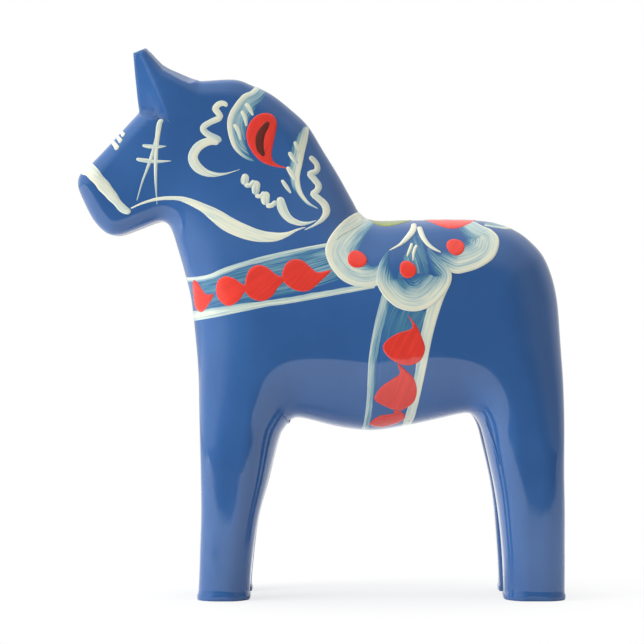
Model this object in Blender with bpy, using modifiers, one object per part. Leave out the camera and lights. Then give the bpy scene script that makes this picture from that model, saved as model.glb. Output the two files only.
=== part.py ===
"""Dala horse: one carved pine body, its dipped enamel coat and its brushed ornament.

The horse faces -X, its left flank faces -Y and +Z is up. The origin is on the ground, under
the middle of the horse. Design lengths are in millimetres; MM turns them into metres.
"""
import math

import bmesh
import bpy
import numpy as np
from mathutils import Matrix, Vector

MM = 0.001

# Sawn silhouette, seen from the horse's left: smooth runs that meet at corners.
EAR_TIP_FRONT = (-44.5, 130.0)
EAR_TIP_BACK = (-42.7, 130.7)
BROW = (-43.1, 114.8)
EAR_ROOT = (-28.6, 122.3)
TOPLINE = [EAR_ROOT, (-20.6, 122.6), (-16.2, 121.1), (-11.7, 119.0), (-6.9, 115.3), (-3.0, 111.5),
           (0.6, 105.7), (4.1, 100.0), (7.3, 94.2), (9.6, 90.5), (13.2, 89.0), (22.0, 89.1),
           (31.3, 89.2), (39.3, 88.9), (45.2, 87.2), (49.5, 84.3), (53.4, 79.3), (56.0, 70.1),
           (56.8, 56.3), (57.2, 45.9), (57.2, 32.5), (57.2, 13.7), (57.2, -4.0)]
HIND_LEG_FRONT = [(43.4, -4.0), (42.7, 11.1), (41.4, 24.0), (38.9, 35.8), (37.5, 40.8),
                  (35.6, 43.2), (33.0, 43.3), (26.7, 41.8), (20.3, 40.4), (12.6, 39.1), (4.8, 40.0),
                  (-4.0, 42.2), (-6.6, 42.1), (-8.4, 40.2), (-10.0, 37.0), (-12.4, 27.3),
                  (-15.0, 17.0), (-16.6, 3.1), (-16.8, -4.0)]
FRONT_LEG_FRONT = [(-28.8, -4.0), (-28.3, 12.7), (-28.0, 25.2), (-28.3, 37.9), (-28.9, 54.0),
                   (-30.4, 68.9), (-32.2, 76.5), (-33.8, 82.2), (-35.1, 86.4), (-36.4, 88.4),
                   (-38.6, 88.9), (-43.4, 87.1), (-47.6, 85.7), (-50.8, 86.1), (-54.0, 89.2),
                   (-56.6, 94.2), (-57.8, 97.6), (-57.2, 100.2), (-54.6, 102.5), (-45.9, 111.8), BROW]
EAR_FRONT = [BROW, (-43.7, 119.6), (-44.3, 126.2), EAR_TIP_FRONT]
EAR_TIP = [EAR_TIP_FRONT, EAR_TIP_BACK]
EAR_BACK = [EAR_TIP_BACK, (-37.5, 126.3), (-33.3, 124.2), EAR_ROOT]

# Half width of the body at places in the side view, and the radius its edges are rounded to:
# (x, z, half width, edge radius).
GIRTH_STATIONS = [
    (-56, 97, 6.6, 5.0), (-50, 87, 6.8, 4.5), (-50, 106, 6.4, 4.2), (-44, 98, 8.2, 6.0),
    (-37, 90, 9.0, 5.5), (-38, 108, 8.4, 5.5), (-43, 116, 7.6, 4.0), (-43, 128, 6.2, 2.4),
    (-30, 120, 8.2, 4.0), (-20, 119, 8.6, 5.0), (-10, 114, 9.2, 6.0), (-24, 103, 10.2, 8.5),
    (2, 100, 10.6, 7.0), (-30, 88, 11.4, 8.0), (-12, 90, 13.2, 11.0), (8, 90, 14.4, 10.0),
    (-31, 74, 15.4, 10.0), (-8, 76, 17.2, 13.0), (20, 86, 17.0, 12.0), (42, 84, 16.6, 12.0),
    (-27, 52, 18.0, 9.0), (-8, 58, 19.2, 13.0), (16, 60, 19.4, 13.0), (38, 62, 19.2, 12.0),
    (55, 64, 17.8, 11.0), (16, 42, 18.6, 12.0), (-22, 36, 18.6, 6.4), (48, 36, 18.6, 6.8),
    (-22, 14, 18.0, 5.8), (50, 14, 18.0, 6.2), (-22, -4, 17.8, 5.6), (50, -4, 17.8, 5.8)]

# The gap sawn between each pair of legs: half widths at its foot and head, and its crown.
GAP_FOOT = 5.8
GAP_HEAD = 4.4
GAP_CROWN_Z = 44.5
GAP_EDGE = 2.2
FRONT_GAP_END_X = -5.0
HIND_GAP_END_X = 34.0

# The notch between the ears: a V whose root climbs from the brow to the poll.
NOTCH_FRONT = (-44.0, 116.5)
NOTCH_BACK = (-30.0, 122.4)
NOTCH_SLOPE = 0.34
NOTCH_EDGE = 0.8

# Coat and paint build-up.
COAT = 0.3
CLEARANCE = 0.3
FILM_GAP = 0.15
FILM = 0.2
SOLE_MARGIN = 0.3

# Mesh density: the voxel of the carving blank and the triangles kept on one half.
BLANK_HALF = 20.5
CARVE_VOXEL = 1.3
HALF_TRIANGLES = 1050
SPLINE_STEPS = 5
BRUSH_STEPS = 2

BLUE = (0.045, 0.115, 0.33, 1.0)
CREAM = (0.80, 0.78, 0.62, 1.0)
RED = (0.74, 0.05, 0.03, 1.0)
GREEN = (0.36, 0.46, 0.06, 1.0)
PINE = (0.66, 0.46, 0.26, 1.0)


# ---------------------------------------------------------------- curves in the side view

def smooth(points, steps=SPLINE_STEPS):
    """Sample a Catmull-Rom curve through the points, ends included."""
    pts = [np.array(p, float) for p in points]
    pts = [2 * pts[0] - pts[1]] + pts + [2 * pts[-1] - pts[-2]]
    out = []
    for a, b, c, d in zip(pts, pts[1:], pts[2:], pts[3:]):
        for t in np.arange(steps) / steps:
            out.append(0.5 * (2 * b + (c - a) * t + (2 * a - 5 * b + 4 * c - d) * t**2
                              + (3 * b - a - 3 * c + d) * t**3))
    return np.array(out + [pts[-2]])


def silhouette():
    """Closed outline of the horse, legs carried on below the ground for trimming."""
    runs = [TOPLINE, HIND_LEG_FRONT, FRONT_LEG_FRONT, EAR_FRONT, EAR_TIP, EAR_BACK]
    parts = []
    for run in runs:
        pts = smooth(run) if len(run) > 2 else np.array(run, float)
        parts.append(pts[:-1] if run[-1] in (BROW, EAR_TIP_FRONT, EAR_TIP_BACK, EAR_ROOT) else pts)
    return np.vstack(parts)


def side_depth(xz, loop):
    """Distance of each point inside the closed outline, negative outside."""
    a = loop
    b = np.roll(loop, -1, axis=0)
    edge = b - a
    length2 = (edge**2).sum(1)
    depth = np.full(len(xz), 1e9)
    inside = np.zeros(len(xz), bool)
    for i in range(len(a)):
        rel = xz - a[i]
        t = np.clip(rel @ edge[i] / length2[i], 0, 1)
        gap = rel - t[:, None] * edge[i]
        depth = np.minimum(depth, (gap**2).sum(1))
        if a[i, 1] != b[i, 1]:
            crosses = (a[i, 1] > xz[:, 1]) != (b[i, 1] > xz[:, 1])
            at = a[i, 0] + (xz[:, 1] - a[i, 1]) / edge[i, 1] * edge[i, 0]
            inside ^= crosses & (xz[:, 0] < at)
    return np.sqrt(depth) * np.where(inside, 1, -1)


# ---------------------------------------------------------------- the carved form

class Plate:
    """Thin-plate spline through values given at scattered places in the side view."""

    def __init__(self, places, values):
        self.places = np.array(places, float) / 100
        n = len(places)
        system = np.zeros((n + 3, n + 3))
        system[:n, :n] = self.kernel(self.places)
        system[:n, n] = 1
        system[:n, n + 1:] = self.places
        system[n:, :n] = system[:n, n:].T
        self.weights = np.linalg.solve(system, np.append(values, [0, 0, 0]))

    def kernel(self, at):
        r2 = ((at[:, None] - self.places[None])**2).sum(2)
        return r2 * np.log(r2 + 1e-12)

    def __call__(self, xz):
        at = np.asarray(xz) / 100
        n = len(self.places)
        return self.kernel(at) @ self.weights[:n] + self.weights[n] + at @ self.weights[n + 1:]


def soft_max(a, b, radius):
    """Larger of two distances, with the edge between them rounded."""
    h = np.clip(0.5 + 0.5 * (a - b) / radius, 0, 1)
    return b + (a - b) * h + radius * h * (1 - h)


class Horse:
    """Distance-like field of the finished horse: zero on its painted surface."""

    def __init__(self):
        table = np.array(GIRTH_STATIONS, float)
        self.half_width = Plate(table[:, :2], table[:, 2])
        self.edge_radius = Plate(table[:, :2], table[:, 3])
        self.loop = silhouette()

    def leg_gap(self, p, x_end, side):
        """Round-topped saw gap that opens at the ground and ends at x_end."""
        lift = p[:, 2] / GAP_CROWN_Z
        half = GAP_FOOT + (GAP_HEAD - GAP_FOOT) * np.clip(lift, 0, 1)
        over = np.maximum(p[:, 2] - (GAP_CROWN_Z - GAP_HEAD), 0)
        gap = half - np.hypot(p[:, 1], over)
        return np.minimum(gap, side * (p[:, 0] - x_end))

    def __call__(self, p):
        xz = p[:, [0, 2]]
        y = np.abs(p[:, 1])
        width = self.half_width(xz)
        radius = np.minimum(self.edge_radius(xz), width - 0.8)
        rim = radius - side_depth(xz, self.loop)
        face = y - width + radius
        outside = np.hypot(np.maximum(rim, 0), np.maximum(face, 0))
        field = outside + np.minimum(np.maximum(rim, face), 0) - radius
        field = soft_max(field, self.leg_gap(p, FRONT_GAP_END_X, -1), GAP_EDGE)
        field = soft_max(field, self.leg_gap(p, HIND_GAP_END_X, 1), GAP_EDGE)
        climb = (NOTCH_BACK[1] - NOTCH_FRONT[1]) / (NOTCH_BACK[0] - NOTCH_FRONT[0])
        root = NOTCH_FRONT[1] + climb * (p[:, 0] - NOTCH_FRONT[0])
        notch = NOTCH_SLOPE * (p[:, 2] - root) - y
        return soft_max(field, notch, NOTCH_EDGE)

    def gradient(self, p):
        step = 0.02
        sides = [self(p + step * axis) - self(p - step * axis) for axis in np.eye(3)]
        return np.array(sides).T / (2 * step)


def carve(mesh, horse, rounds=5):
    """Move every vertex of the mesh onto the horse's surface."""
    co = np.empty(len(mesh.vertices) * 3)
    mesh.vertices.foreach_get("co", co)
    p = co.reshape(-1, 3) / MM
    on_middle = np.abs(p[:, 1]) < 0.01
    for _ in range(rounds):
        value = horse(p)
        slope = horse.gradient(p)
        slope[on_middle, 1] = 0
        size2 = np.maximum((slope**2).sum(1), 0.05)
        move = -(value / size2)[:, None] * slope
        p = p + move * np.minimum(1, 2.0 / (np.linalg.norm(move, axis=1) + 1e-9))[:, None]
    mesh.vertices.foreach_set("co", (p * MM).ravel())
    mesh.update()


# ---------------------------------------------------------------- Blender helpers

def clear_scene():
    for obj in list(bpy.data.objects):
        bpy.data.objects.remove(obj, do_unlink=True)
    for coll in list(bpy.data.collections):
        bpy.data.collections.remove(coll)


def collection(name):
    coll = bpy.data.collections.new(name)
    bpy.context.scene.collection.children.link(coll)
    return coll


def material(name, colour, roughness):
    mat = bpy.data.materials.new(name)
    mat.use_nodes = True
    bsdf = mat.node_tree.nodes["Principled BSDF"]
    bsdf.inputs["Base Color"].default_value = colour
    bsdf.inputs["Roughness"].default_value = roughness
    mat.diffuse_color = colour
    return mat


def add_object(name, mesh, coll):
    obj = bpy.data.objects.new(name, mesh)
    coll.objects.link(obj)
    return obj


def apply_modifiers(obj):
    """Bake the object's modifiers into its mesh."""
    depsgraph = bpy.context.evaluated_depsgraph_get()
    mesh = bpy.data.meshes.new_from_object(obj.evaluated_get(depsgraph))
    obj.modifiers.clear()
    obj.data = mesh
    return mesh


def as_cutter(obj):
    obj.hide_render = True
    obj.display_type = 'WIRE'
    return obj


def prism(name, loop, low, high, coll, upright=False):
    """Flat outline in the side view (or plan view) drawn through from low to high."""
    curve = bpy.data.curves.new(name, 'CURVE')
    curve.dimensions = '2D'
    curve.fill_mode = 'BOTH'
    curve.extrude = (high - low) / 2 * MM
    spline = curve.splines.new('POLY')
    spline.points.add(len(loop) - 1)
    for point, (u, v) in zip(spline.points, loop):
        point.co = (u * MM, v * MM, 0, 1)
    spline.use_cyclic_u = True
    drawn = add_object(name + "_curve", curve, coll)
    middle = (low + high) / 2 * MM
    if upright:
        drawn.matrix_world = Matrix.Translation((0, 0, middle))
    else:
        drawn.matrix_world = Matrix.Translation((0, middle, 0)) @ Matrix.Rotation(math.pi / 2, 4, 'X')
    bpy.context.view_layer.update()
    depsgraph = bpy.context.evaluated_depsgraph_get()
    mesh = bpy.data.meshes.new_from_object(drawn.evaluated_get(depsgraph))
    mesh.transform(drawn.matrix_world)
    bpy.data.objects.remove(drawn, do_unlink=True)
    bm = bmesh.new()
    bm.from_mesh(mesh)
    bmesh.ops.remove_doubles(bm, verts=bm.verts, dist=1e-6)
    bmesh.ops.recalc_face_normals(bm, faces=bm.faces)
    bm.to_mesh(mesh)
    bm.free()
    return add_object(name, mesh, coll)


def remesh(obj, voxel):
    mod = obj.modifiers.new("even_out", 'REMESH')
    mod.mode = 'VOXEL'
    mod.voxel_size = voxel * MM
    return apply_modifiers(obj)


# ---------------------------------------------------------------- the body surface

def sawn_blank(horse, cutters):
    """Silhouette sawn from a plank, with the two leg gaps sawn out."""
    blank = prism("blank", horse.loop, -BLANK_HALF, BLANK_HALF, cutters)
    spans = [(-60, FRONT_GAP_END_X - GAP_EDGE), (HIND_GAP_END_X + GAP_EDGE, 90)]
    for number, (start, end) in enumerate(spans):
        bpy.ops.mesh.primitive_cube_add(size=1)
        slot = bpy.context.object
        slot.name = f"leg_gap_cutter_{number}"
        slot.scale = ((end - start) * MM, 2 * GAP_HEAD * MM, (GAP_CROWN_Z + 6) * MM)
        slot.location = ((start + end) / 2 * MM, 0, (GAP_CROWN_Z - 8) / 2 * MM)
        cut = blank.modifiers.new("saw_gap", 'BOOLEAN')
        cut.object = slot
        cut.operation = 'DIFFERENCE'
        cut.solver = 'EXACT'
        bpy.context.view_layer.update()
        apply_modifiers(blank)
        bpy.data.objects.remove(slot, do_unlink=True)
    return blank


def taper(mesh, horse):
    """Bring the plank's thickness down to the horse's width, place by place."""
    co = np.empty(len(mesh.vertices) * 3)
    mesh.vertices.foreach_get("co", co)
    p = co.reshape(-1, 3)
    width = horse.half_width(p[:, [0, 2]] / MM)
    outer = np.clip((np.abs(p[:, 1]) / MM - GAP_HEAD) / (BLANK_HALF - GAP_HEAD), 0, 1)
    inner = np.minimum(np.abs(p[:, 1]) / MM, GAP_HEAD)
    p[:, 1] = np.sign(p[:, 1]) * (inner + outer * np.maximum(width - GAP_HEAD, 0.5)) * MM
    mesh.vertices.foreach_set("co", p.ravel())
    mesh.update()


def keep_left_half(mesh):
    bm = bmesh.new()
    bm.from_mesh(mesh)
    geom = bm.verts[:] + bm.edges[:] + bm.faces[:]
    bmesh.ops.bisect_plane(bm, geom=geom, plane_co=(0, 0, 0), plane_no=(0, 1, 0), clear_outer=True)
    bm.to_mesh(mesh)
    bm.free()


def snap_to_middle(mesh):
    """Put the half's open edge exactly on the plane of symmetry."""
    bm = bmesh.new()
    bm.from_mesh(mesh)
    for edge in bm.edges:
        if edge.is_boundary:
            for vert in edge.verts:
                vert.co.y = 0
    bm.to_mesh(mesh)
    bm.free()


def body_surface(horse, cutters):
    """Closed, symmetric surface of the painted horse, legs running on below the ground."""
    body = sawn_blank(horse, cutters)
    remesh(body, CARVE_VOXEL)
    taper(body.data, horse)
    for _ in range(2):
        remesh(body, CARVE_VOXEL)
        carve(body.data, horse)
    keep_left_half(body.data)
    thin = body.modifiers.new("thin_out", 'DECIMATE')
    thin.ratio = HALF_TRIANGLES / (2 * len(body.data.polygons))
    apply_modifiers(body)
    snap_to_middle(body.data)
    carve(body.data, horse)
    snap_to_middle(body.data)
    other = body.modifiers.new("right_half", 'MIRROR')
    other.use_axis = (False, True, False)
    other.merge_threshold = 1e-5
    apply_modifiers(body)
    return as_cutter(body)


def trim_at(mesh, height, fill):
    """Cut the mesh level at a height and keep what is above, closing the soles if asked."""
    bm = bmesh.new()
    bm.from_mesh(mesh)
    geom = bm.verts[:] + bm.edges[:] + bm.faces[:]
    level = (0, 0, height * MM)
    bmesh.ops.bisect_plane(bm, geom=geom, plane_co=level, plane_no=(0, 0, 1), clear_inner=True)
    if fill:
        rim = [edge for edge in bm.edges if edge.is_boundary]
        bmesh.ops.holes_fill(bm, edges=rim, sides=0)
    bmesh.ops.recalc_face_normals(bm, faces=bm.faces)
    bm.to_mesh(mesh)
    bm.free()


def swell(obj, distance):
    """Move the whole surface along its normals."""
    push = obj.modifiers.new("swell", 'DISPLACE')
    push.strength = distance * MM
    push.mid_level = 0
    return apply_modifiers(obj)


def shade(obj, mat, angle=40):
    obj.data.materials.clear()
    obj.data.materials.append(mat)
    obj.data.shade_smooth()
    obj.data.set_sharp_from_angle(angle=math.radians(angle))


# ---------------------------------------------------------------- wood and enamel

def carved_pine_body(body, coll, mat):
    core = add_object("carved_pine_body", body.data.copy(), coll)
    swell(core, -(COAT + CLEARANCE))
    trim_at(core.data, 0, True)
    shade(core, mat)


def blue_enamel_coat(body, coll, mat):
    coat = add_object("blue_enamel_coat", body.data.copy(), coll)
    trim_at(coat.data, SOLE_MARGIN, False)
    skin = coat.modifiers.new("paint_thickness", 'SOLIDIFY')
    skin.thickness = COAT * MM
    skin.offset = -1
    shade(coat, mat)


# ---------------------------------------------------------------- brushed ornament

# A stroke is a path of (x, z) points with the brush width at each: (x, z, width). The brush
# leans to one side of the path where only its outer edge is given: 0 centred, 1 fully right.

NOSEBAND = [(-57.5, 103.0, 2.6), (-52.4, 98.2, 2.5), (-49.6, 95.0, 2.2), (-47.0, 92.3, 1.4)]
CHEEK_STRAP = [
    [(-38.2, 111.9, 1.3), (-38.7, 106.5, 1.2), (-38.7, 100.4, 0.8), (-38.6, 95.4, 0.4)],
    [(-38.7, 108.3, 0.8), (-39.5, 104.8, 0.8), (-41.4, 99.4, 0.7), (-42.9, 94.6, 0.4)],
    [(-41.9, 106.3, 0.8), (-36.5, 106.2, 0.8)],
    [(-43.2, 103.2, 0.9), (-35.1, 102.5, 0.8)]]
REIN = [(-45.2, 91.6, 0.5), (-41.7, 93.0, 0.7), (-34.0, 94.0, 1.2), (-30.5, 92.7, 1.5),
        (-26.1, 89.8, 2.0), (-21.6, 86.9, 2.4), (-17.1, 85.1, 2.8), (-12.6, 84.0, 2.4),
        (-8.2, 85.1, 1.4), (-6.0, 85.9, 0.5)]
NOSE_DABS = {
    "lower": [(-47.9, 105.8, 1.2), (-49.6, 107.8, 0.4)],
    "middle": [(-47.2, 107.5, 1.1), (-48.8, 108.8, 0.4)],
    "upper": [(-46.6, 109.0, 0.9), (-47.8, 109.8, 0.4)]}

MANE_PETAL_FRONT = [(-15.3, 119.4, 1.6), (-18.6, 117.4, 3.5), (-20.8, 114.8, 5.0), (-21.5, 111.6, 5.0),
                    (-21.3, 108.6, 4.0), (-19.8, 105.4, 3.0), (-18.0, 103.6, 2.0), (-15.8, 102.5, 0.8)]
MANE_PETAL_REAR = [(-3.4, 110.0, 1.2), (-3.8, 106.7, 3.4), (-4.9, 102.8, 4.2), (-5.6, 99.2, 4.2),
                   (-5.1, 96.0, 3.0), (-3.3, 93.6, 1.8), (-0.9, 92.0, 0.6)]
MANE_DROP = [(-12.6, 113.6), (-10.6, 112.4), (-10.3, 109.9), (-11.2, 106.3), (-11.4, 103.7),
             (-10.2, 102.0), (-8.6, 101.1), (-11.3, 101.4), (-14.0, 103.0), (-15.5, 105.4),
             (-16.1, 108.1), (-15.8, 110.8), (-14.6, 112.8)]
MANE_SCROLLS = {
    "front": [
        [(-22.4, 115.9, 0.9), (-24.6, 115.4, 1.7), (-24.6, 113.2, 1.8), (-27.4, 110.9, 1.9),
         (-27.2, 108.4, 1.9), (-24.6, 107.0, 1.4)],
        [(-24.2, 106.9, 1.2), (-27.6, 106.2, 1.9), (-30.0, 103.4, 2.1), (-28.8, 100.5, 2.1),
         (-24.7, 99.4, 1.9), (-19.6, 100.3, 1.0)]],
    "lower": [
        [(-17.6, 99.0, 1.2), (-16.0, 96.9, 2.0), (-14.0, 94.8, 2.0), (-12.2, 92.8, 2.0),
         (-9.9, 91.6, 2.0), (-8.0, 89.4, 1.9), (-5.4, 88.6, 1.3), (-3.4, 88.9, 0.5)]],
    "rear": [
        [(-2.4, 103.2, 1.0), (-1.2, 101.0, 1.6), (-2.0, 98.9, 1.7), (-0.9, 96.6, 1.8),
         (-1.0, 94.6, 1.8), (0.8, 92.2, 2.0), (1.1, 90.0, 2.0), (-0.6, 87.7, 1.6),
         (-3.4, 86.9, 0.7)]]}

BREAST_BAND_TOP = [(-40.0, 75.0), (-31.6, 75.4), (-26.4, 75.9), (-20.6, 78.3), (-13.9, 80.3),
                   (-7.3, 81.9), (0.7, 83.2)]
BREAST_BAND_FOOT = [(5.2, 73.0), (-0.6, 72.0), (-7.3, 70.8), (-16.2, 69.5), (-22.8, 68.0),
                    (-29.4, 65.7), (-40.0, 64.8)]
BREAST_DABS = [(-40.0, 71.3, 6.4), (-29.0, 71.3, 6.2), (-25.2, 71.2, 1.4), (-21.6, 72.2, 5.8),
               (-17.9, 73.0, 1.6), (-13.6, 73.9, 7.4), (-9.2, 75.0, 1.6), (-5.1, 75.7, 6.8),
               (-2.4, 75.9, 3.2), (0.6, 76.3, 0.4)]

SADDLE_PETALS = {
    "front": [(9.4, 94.0, 4.5), (8.8, 91.1, 4.5), (5.5, 88.6, 5.0), (2.4, 85.4, 5.0),
              (1.2, 81.4, 5.2), (3.4, 76.4, 5.0), (8.0, 73.3, 4.0), (12.2, 73.2, 2.5)],
    "middle": [(13.2, 76.9, 2.5), (13.1, 73.9, 5.0), (15.4, 70.2, 6.0), (19.9, 67.6, 6.5),
               (24.9, 68.3, 6.5), (28.6, 72.0, 5.0), (30.2, 75.6, 2.5)],
    "rear": [(31.5, 77.0, 2.5), (34.4, 77.4, 5.0), (38.4, 79.2, 6.0), (41.0, 82.2, 5.5),
             (41.0, 85.4, 4.0), (40.2, 88.4, 3.0), (39.6, 94.0, 3.0)]}
SADDLE_DOTS = {"front": (8.4, 79.6, 2.1), "middle": (20.1, 77.0, 1.9), "rear": (31.2, 82.5, 1.9)}
SADDLE_SPRAY = [
    [(22.2, 88.0, 1.4), (20.8, 85.5, 1.4), (18.7, 83.4, 1.1), (16.0, 81.8, 0.4)],
    [(22.4, 88.0, 1.2), (23.7, 85.1, 1.1), (25.4, 82.6, 0.9), (27.4, 81.0, 0.4)],
    [(22.2, 86.6, 0.8), (21.1, 83.3, 0.9), (20.1, 80.3, 0.4)],
    [(22.4, 86.2, 0.6), (21.9, 82.9, 0.7), (21.5, 79.6, 0.4)]]

GIRTH_FRONT_EDGE = [(14.3, 70.0), (13.4, 67.6), (12.0, 63.6), (11.1, 54.5), (10.4, 46.2), (10.0, 40.2),
                    (9.6, 30.0)]
GIRTH_BACK_EDGE = [(18.6, 30.0), (20.8, 41.4), (22.8, 47.4), (24.5, 54.5), (25.7, 60.7),
                   (27.3, 66.5), (28.6, 70.0)]
GIRTH_DROPS = [(20.6, 66.0, 0.4), (20.4, 63.2, 3.2), (19.2, 58.8, 8.8), (18.8, 55.8, 4.8),
               (18.4, 54.0, 1.4), (17.8, 51.2, 6.4), (17.5, 47.4, 9.0), (17.3, 45.0, 4.4),
               (17.0, 43.6, 1.6), (16.4, 42.2, 5.2), (15.8, 40.8, 7.0)]

SPINE_LEAF = [(14.8, 0.4), (16.6, 6.8), (19.4, 8.4), (22.4, 6.2), (24.2, 0.6)]
SPINE_PETAL = [(25.2, 0.6), (27.6, 6.4), (31.0, 8.6), (34.4, 6.6), (36.2, 0.4)]


def ribbon(stroke, lean=0.0, grow=0.0):
    """Outline of a brush stroke: its path with the brush's width laid across it."""
    line = smooth(stroke, BRUSH_STEPS) if len(stroke) > 2 else np.array(stroke, float)
    ahead = np.gradient(line[:, :2], axis=0)
    ahead /= np.linalg.norm(ahead, axis=1)[:, None]
    across = np.stack([ahead[:, 1], -ahead[:, 0]], axis=1)
    width = np.maximum(line[:, 2], 0.3)[:, None]
    right = line[:, :2] + across * (width * (1 + lean) / 2 + grow)
    left = line[:, :2] - across * (width * (1 - lean) / 2 + grow)
    return np.vstack([right, left[::-1]])


def between(there, back):
    """Outline of a band from its two long edges, the second run in the other direction."""
    return np.vstack([smooth(there, BRUSH_STEPS), smooth(back, BRUSH_STEPS)])


def disc(x, z, radius, sides=12):
    turn = np.arange(sides) * 2 * math.pi / sides
    return np.stack([x + radius * np.cos(turn), z + radius * np.sin(turn)], axis=1)


def paint_layer(body, number, cutters):
    """Skin of wet paint over the whole horse; ornament films are cut out of it."""
    layer = add_object(f"paint_layer_{number}", body.data.copy(), cutters)
    swell(layer, FILM_GAP + number * (FILM + FILM_GAP))
    skin = layer.modifiers.new("film_thickness", 'SOLIDIFY')
    skin.thickness = FILM * MM
    skin.offset = 1
    apply_modifiers(layer)
    return as_cutter(layer)


LEFT = (-26.0, -0.25)
RIGHT = (0.25, 26.0)
THROUGH = (-26.0, 26.0)
BACK_ONLY = (78.0, 96.0)
PRISM_STEP = 0.03


class Painter:
    """Cuts ornament films out of the paint layers."""

    def __init__(self, body, coll, cutters):
        self.coll = coll
        self.cutters = cutters
        self.layers = [paint_layer(body, number, cutters) for number in range(2)]

    def boolean(self, obj, other, operation):
        step = obj.modifiers.new("shape", 'BOOLEAN')
        step.object = other
        step.operation = operation
        step.solver = 'EXACT'
        apply_modifiers(obj)

    def shape(self, loops, span, upright=False):
        """Prism of one or more overlapping outlines, each a little taller than the last."""
        whole = prism("stencil", loops[0], *span, self.cutters, upright)
        for number, loop in enumerate(loops[1:], 1):
            taller = 1 + PRISM_STEP * number
            more = prism("more", loop, span[0] * taller, span[1] * taller, self.cutters, upright)
            self.boolean(whole, more, 'UNION')
            bpy.data.objects.remove(more, do_unlink=True)
        return whole

    def film(self, name, mat, loops, span, layer=0, clear_of=(), upright=False):
        """One dried film: the paint layer inside the outlines, less its neighbours."""
        stencil = self.shape(loops, span, upright)
        for loop in clear_of:
            other = prism("neighbour", loop, *THROUGH, self.cutters)
            self.boolean(stencil, other, 'DIFFERENCE')
            bpy.data.objects.remove(other, do_unlink=True)
        film = add_object(name, self.layers[layer].data.copy(), self.coll)
        self.boolean(film, stencil, 'INTERSECT')
        bpy.data.objects.remove(stencil, do_unlink=True)
        shade(film, mat)

    def both_sides(self, name, mat, loops, layer=0, clear_of=()):
        self.film(name + "_left", mat, loops, LEFT, layer, clear_of)
        self.film(name + "_right", mat, loops, RIGHT, layer, clear_of)


def paint_head(painter, cream):
    painter.film("noseband", cream, [ribbon(NOSEBAND)], THROUGH)
    painter.both_sides("cheek_strap", cream, [ribbon(s) for s in CHEEK_STRAP])
    painter.both_sides("rein", cream, [ribbon(REIN)])
    for place, stroke in NOSE_DABS.items():
        painter.both_sides(f"nose_dab_{place}", cream, [ribbon(stroke)])


def paint_mane(painter, cream, red):
    painter.both_sides("mane_petal_front", cream, [ribbon(MANE_PETAL_FRONT, -1)])
    painter.both_sides("mane_petal_rear", cream, [ribbon(MANE_PETAL_REAR, 1)])
    painter.both_sides("mane_drop", red, [np.array(MANE_DROP)], layer=1)
    for place, strokes in MANE_SCROLLS.items():
        painter.both_sides(f"mane_scroll_{place}", cream, [ribbon(s) for s in strokes])


def paint_saddle(painter, cream, red):
    for place, stroke in SADDLE_PETALS.items():
        painter.both_sides(f"saddle_petal_{place}", cream, [ribbon(stroke, -1)])
    for place, (x, z, radius) in SADDLE_DOTS.items():
        painter.both_sides(f"saddle_dot_{place}", red, [disc(x, z, radius)], layer=1)
    painter.both_sides("saddle_spray", cream, [ribbon(s) for s in SADDLE_SPRAY], layer=1)


def paint_bands(painter, cream, red):
    petals = [ribbon(stroke, -1, grow=CLEARANCE) for stroke in SADDLE_PETALS.values()]
    breast = between(BREAST_BAND_TOP, BREAST_BAND_FOOT)
    painter.film("breast_band", cream, [breast], THROUGH, clear_of=petals[:1])
    painter.film("breast_dabs", red, [ribbon(BREAST_DABS)], THROUGH, layer=1)
    girth = between(GIRTH_FRONT_EDGE, GIRTH_BACK_EDGE)
    painter.film("girth_band", cream, [girth], THROUGH, clear_of=petals)
    painter.both_sides("girth_drops", red, [ribbon(GIRTH_DROPS)], layer=1)


def paint_spine(painter, red, green):
    petals = [ribbon(SADDLE_PETALS[place], -1, grow=CLEARANCE) for place in ("front", "rear")]
    for name, mat, half in (("spine_leaf", green, SPINE_LEAF), ("spine_petal", red, SPINE_PETAL)):
        edge = smooth(half, BRUSH_STEPS)
        loop = np.vstack([edge, edge[::-1] * (1, -1)])
        painter.film(name, mat, [loop], BACK_ONLY, clear_of=petals, upright=True)


def main():
    clear_scene()
    parts = collection("dala_horse")
    cutters = collection("cutters")
    horse = Horse()
    body = body_surface(horse, cutters)
    cream = material("cream_paint", CREAM, 0.3)
    red = material("red_paint", RED, 0.3)
    carved_pine_body(body, parts, material("pine", PINE, 0.6))
    blue_enamel_coat(body, parts, material("blue_enamel", BLUE, 0.15))
    painter = Painter(body, parts, cutters)
    paint_head(painter, cream)
    paint_mane(painter, cream, red)
    paint_saddle(painter, cream, red)
    paint_bands(painter, cream, red)
    paint_spine(painter, red, material("green_paint", GREEN, 0.3))


main()
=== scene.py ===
"""The dala horse as it looks: glossy blue enamel over carved pine, with brushed ornament.

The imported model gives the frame. The enamel surface, the bare soles and every brush stroke are
built here in millimetres in that frame, from the same design form as the carved body.
"""
import math

import bmesh
import bpy
import numpy as np
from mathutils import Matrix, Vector
from mathutils.geometry import delaunay_2d_cdt


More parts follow.
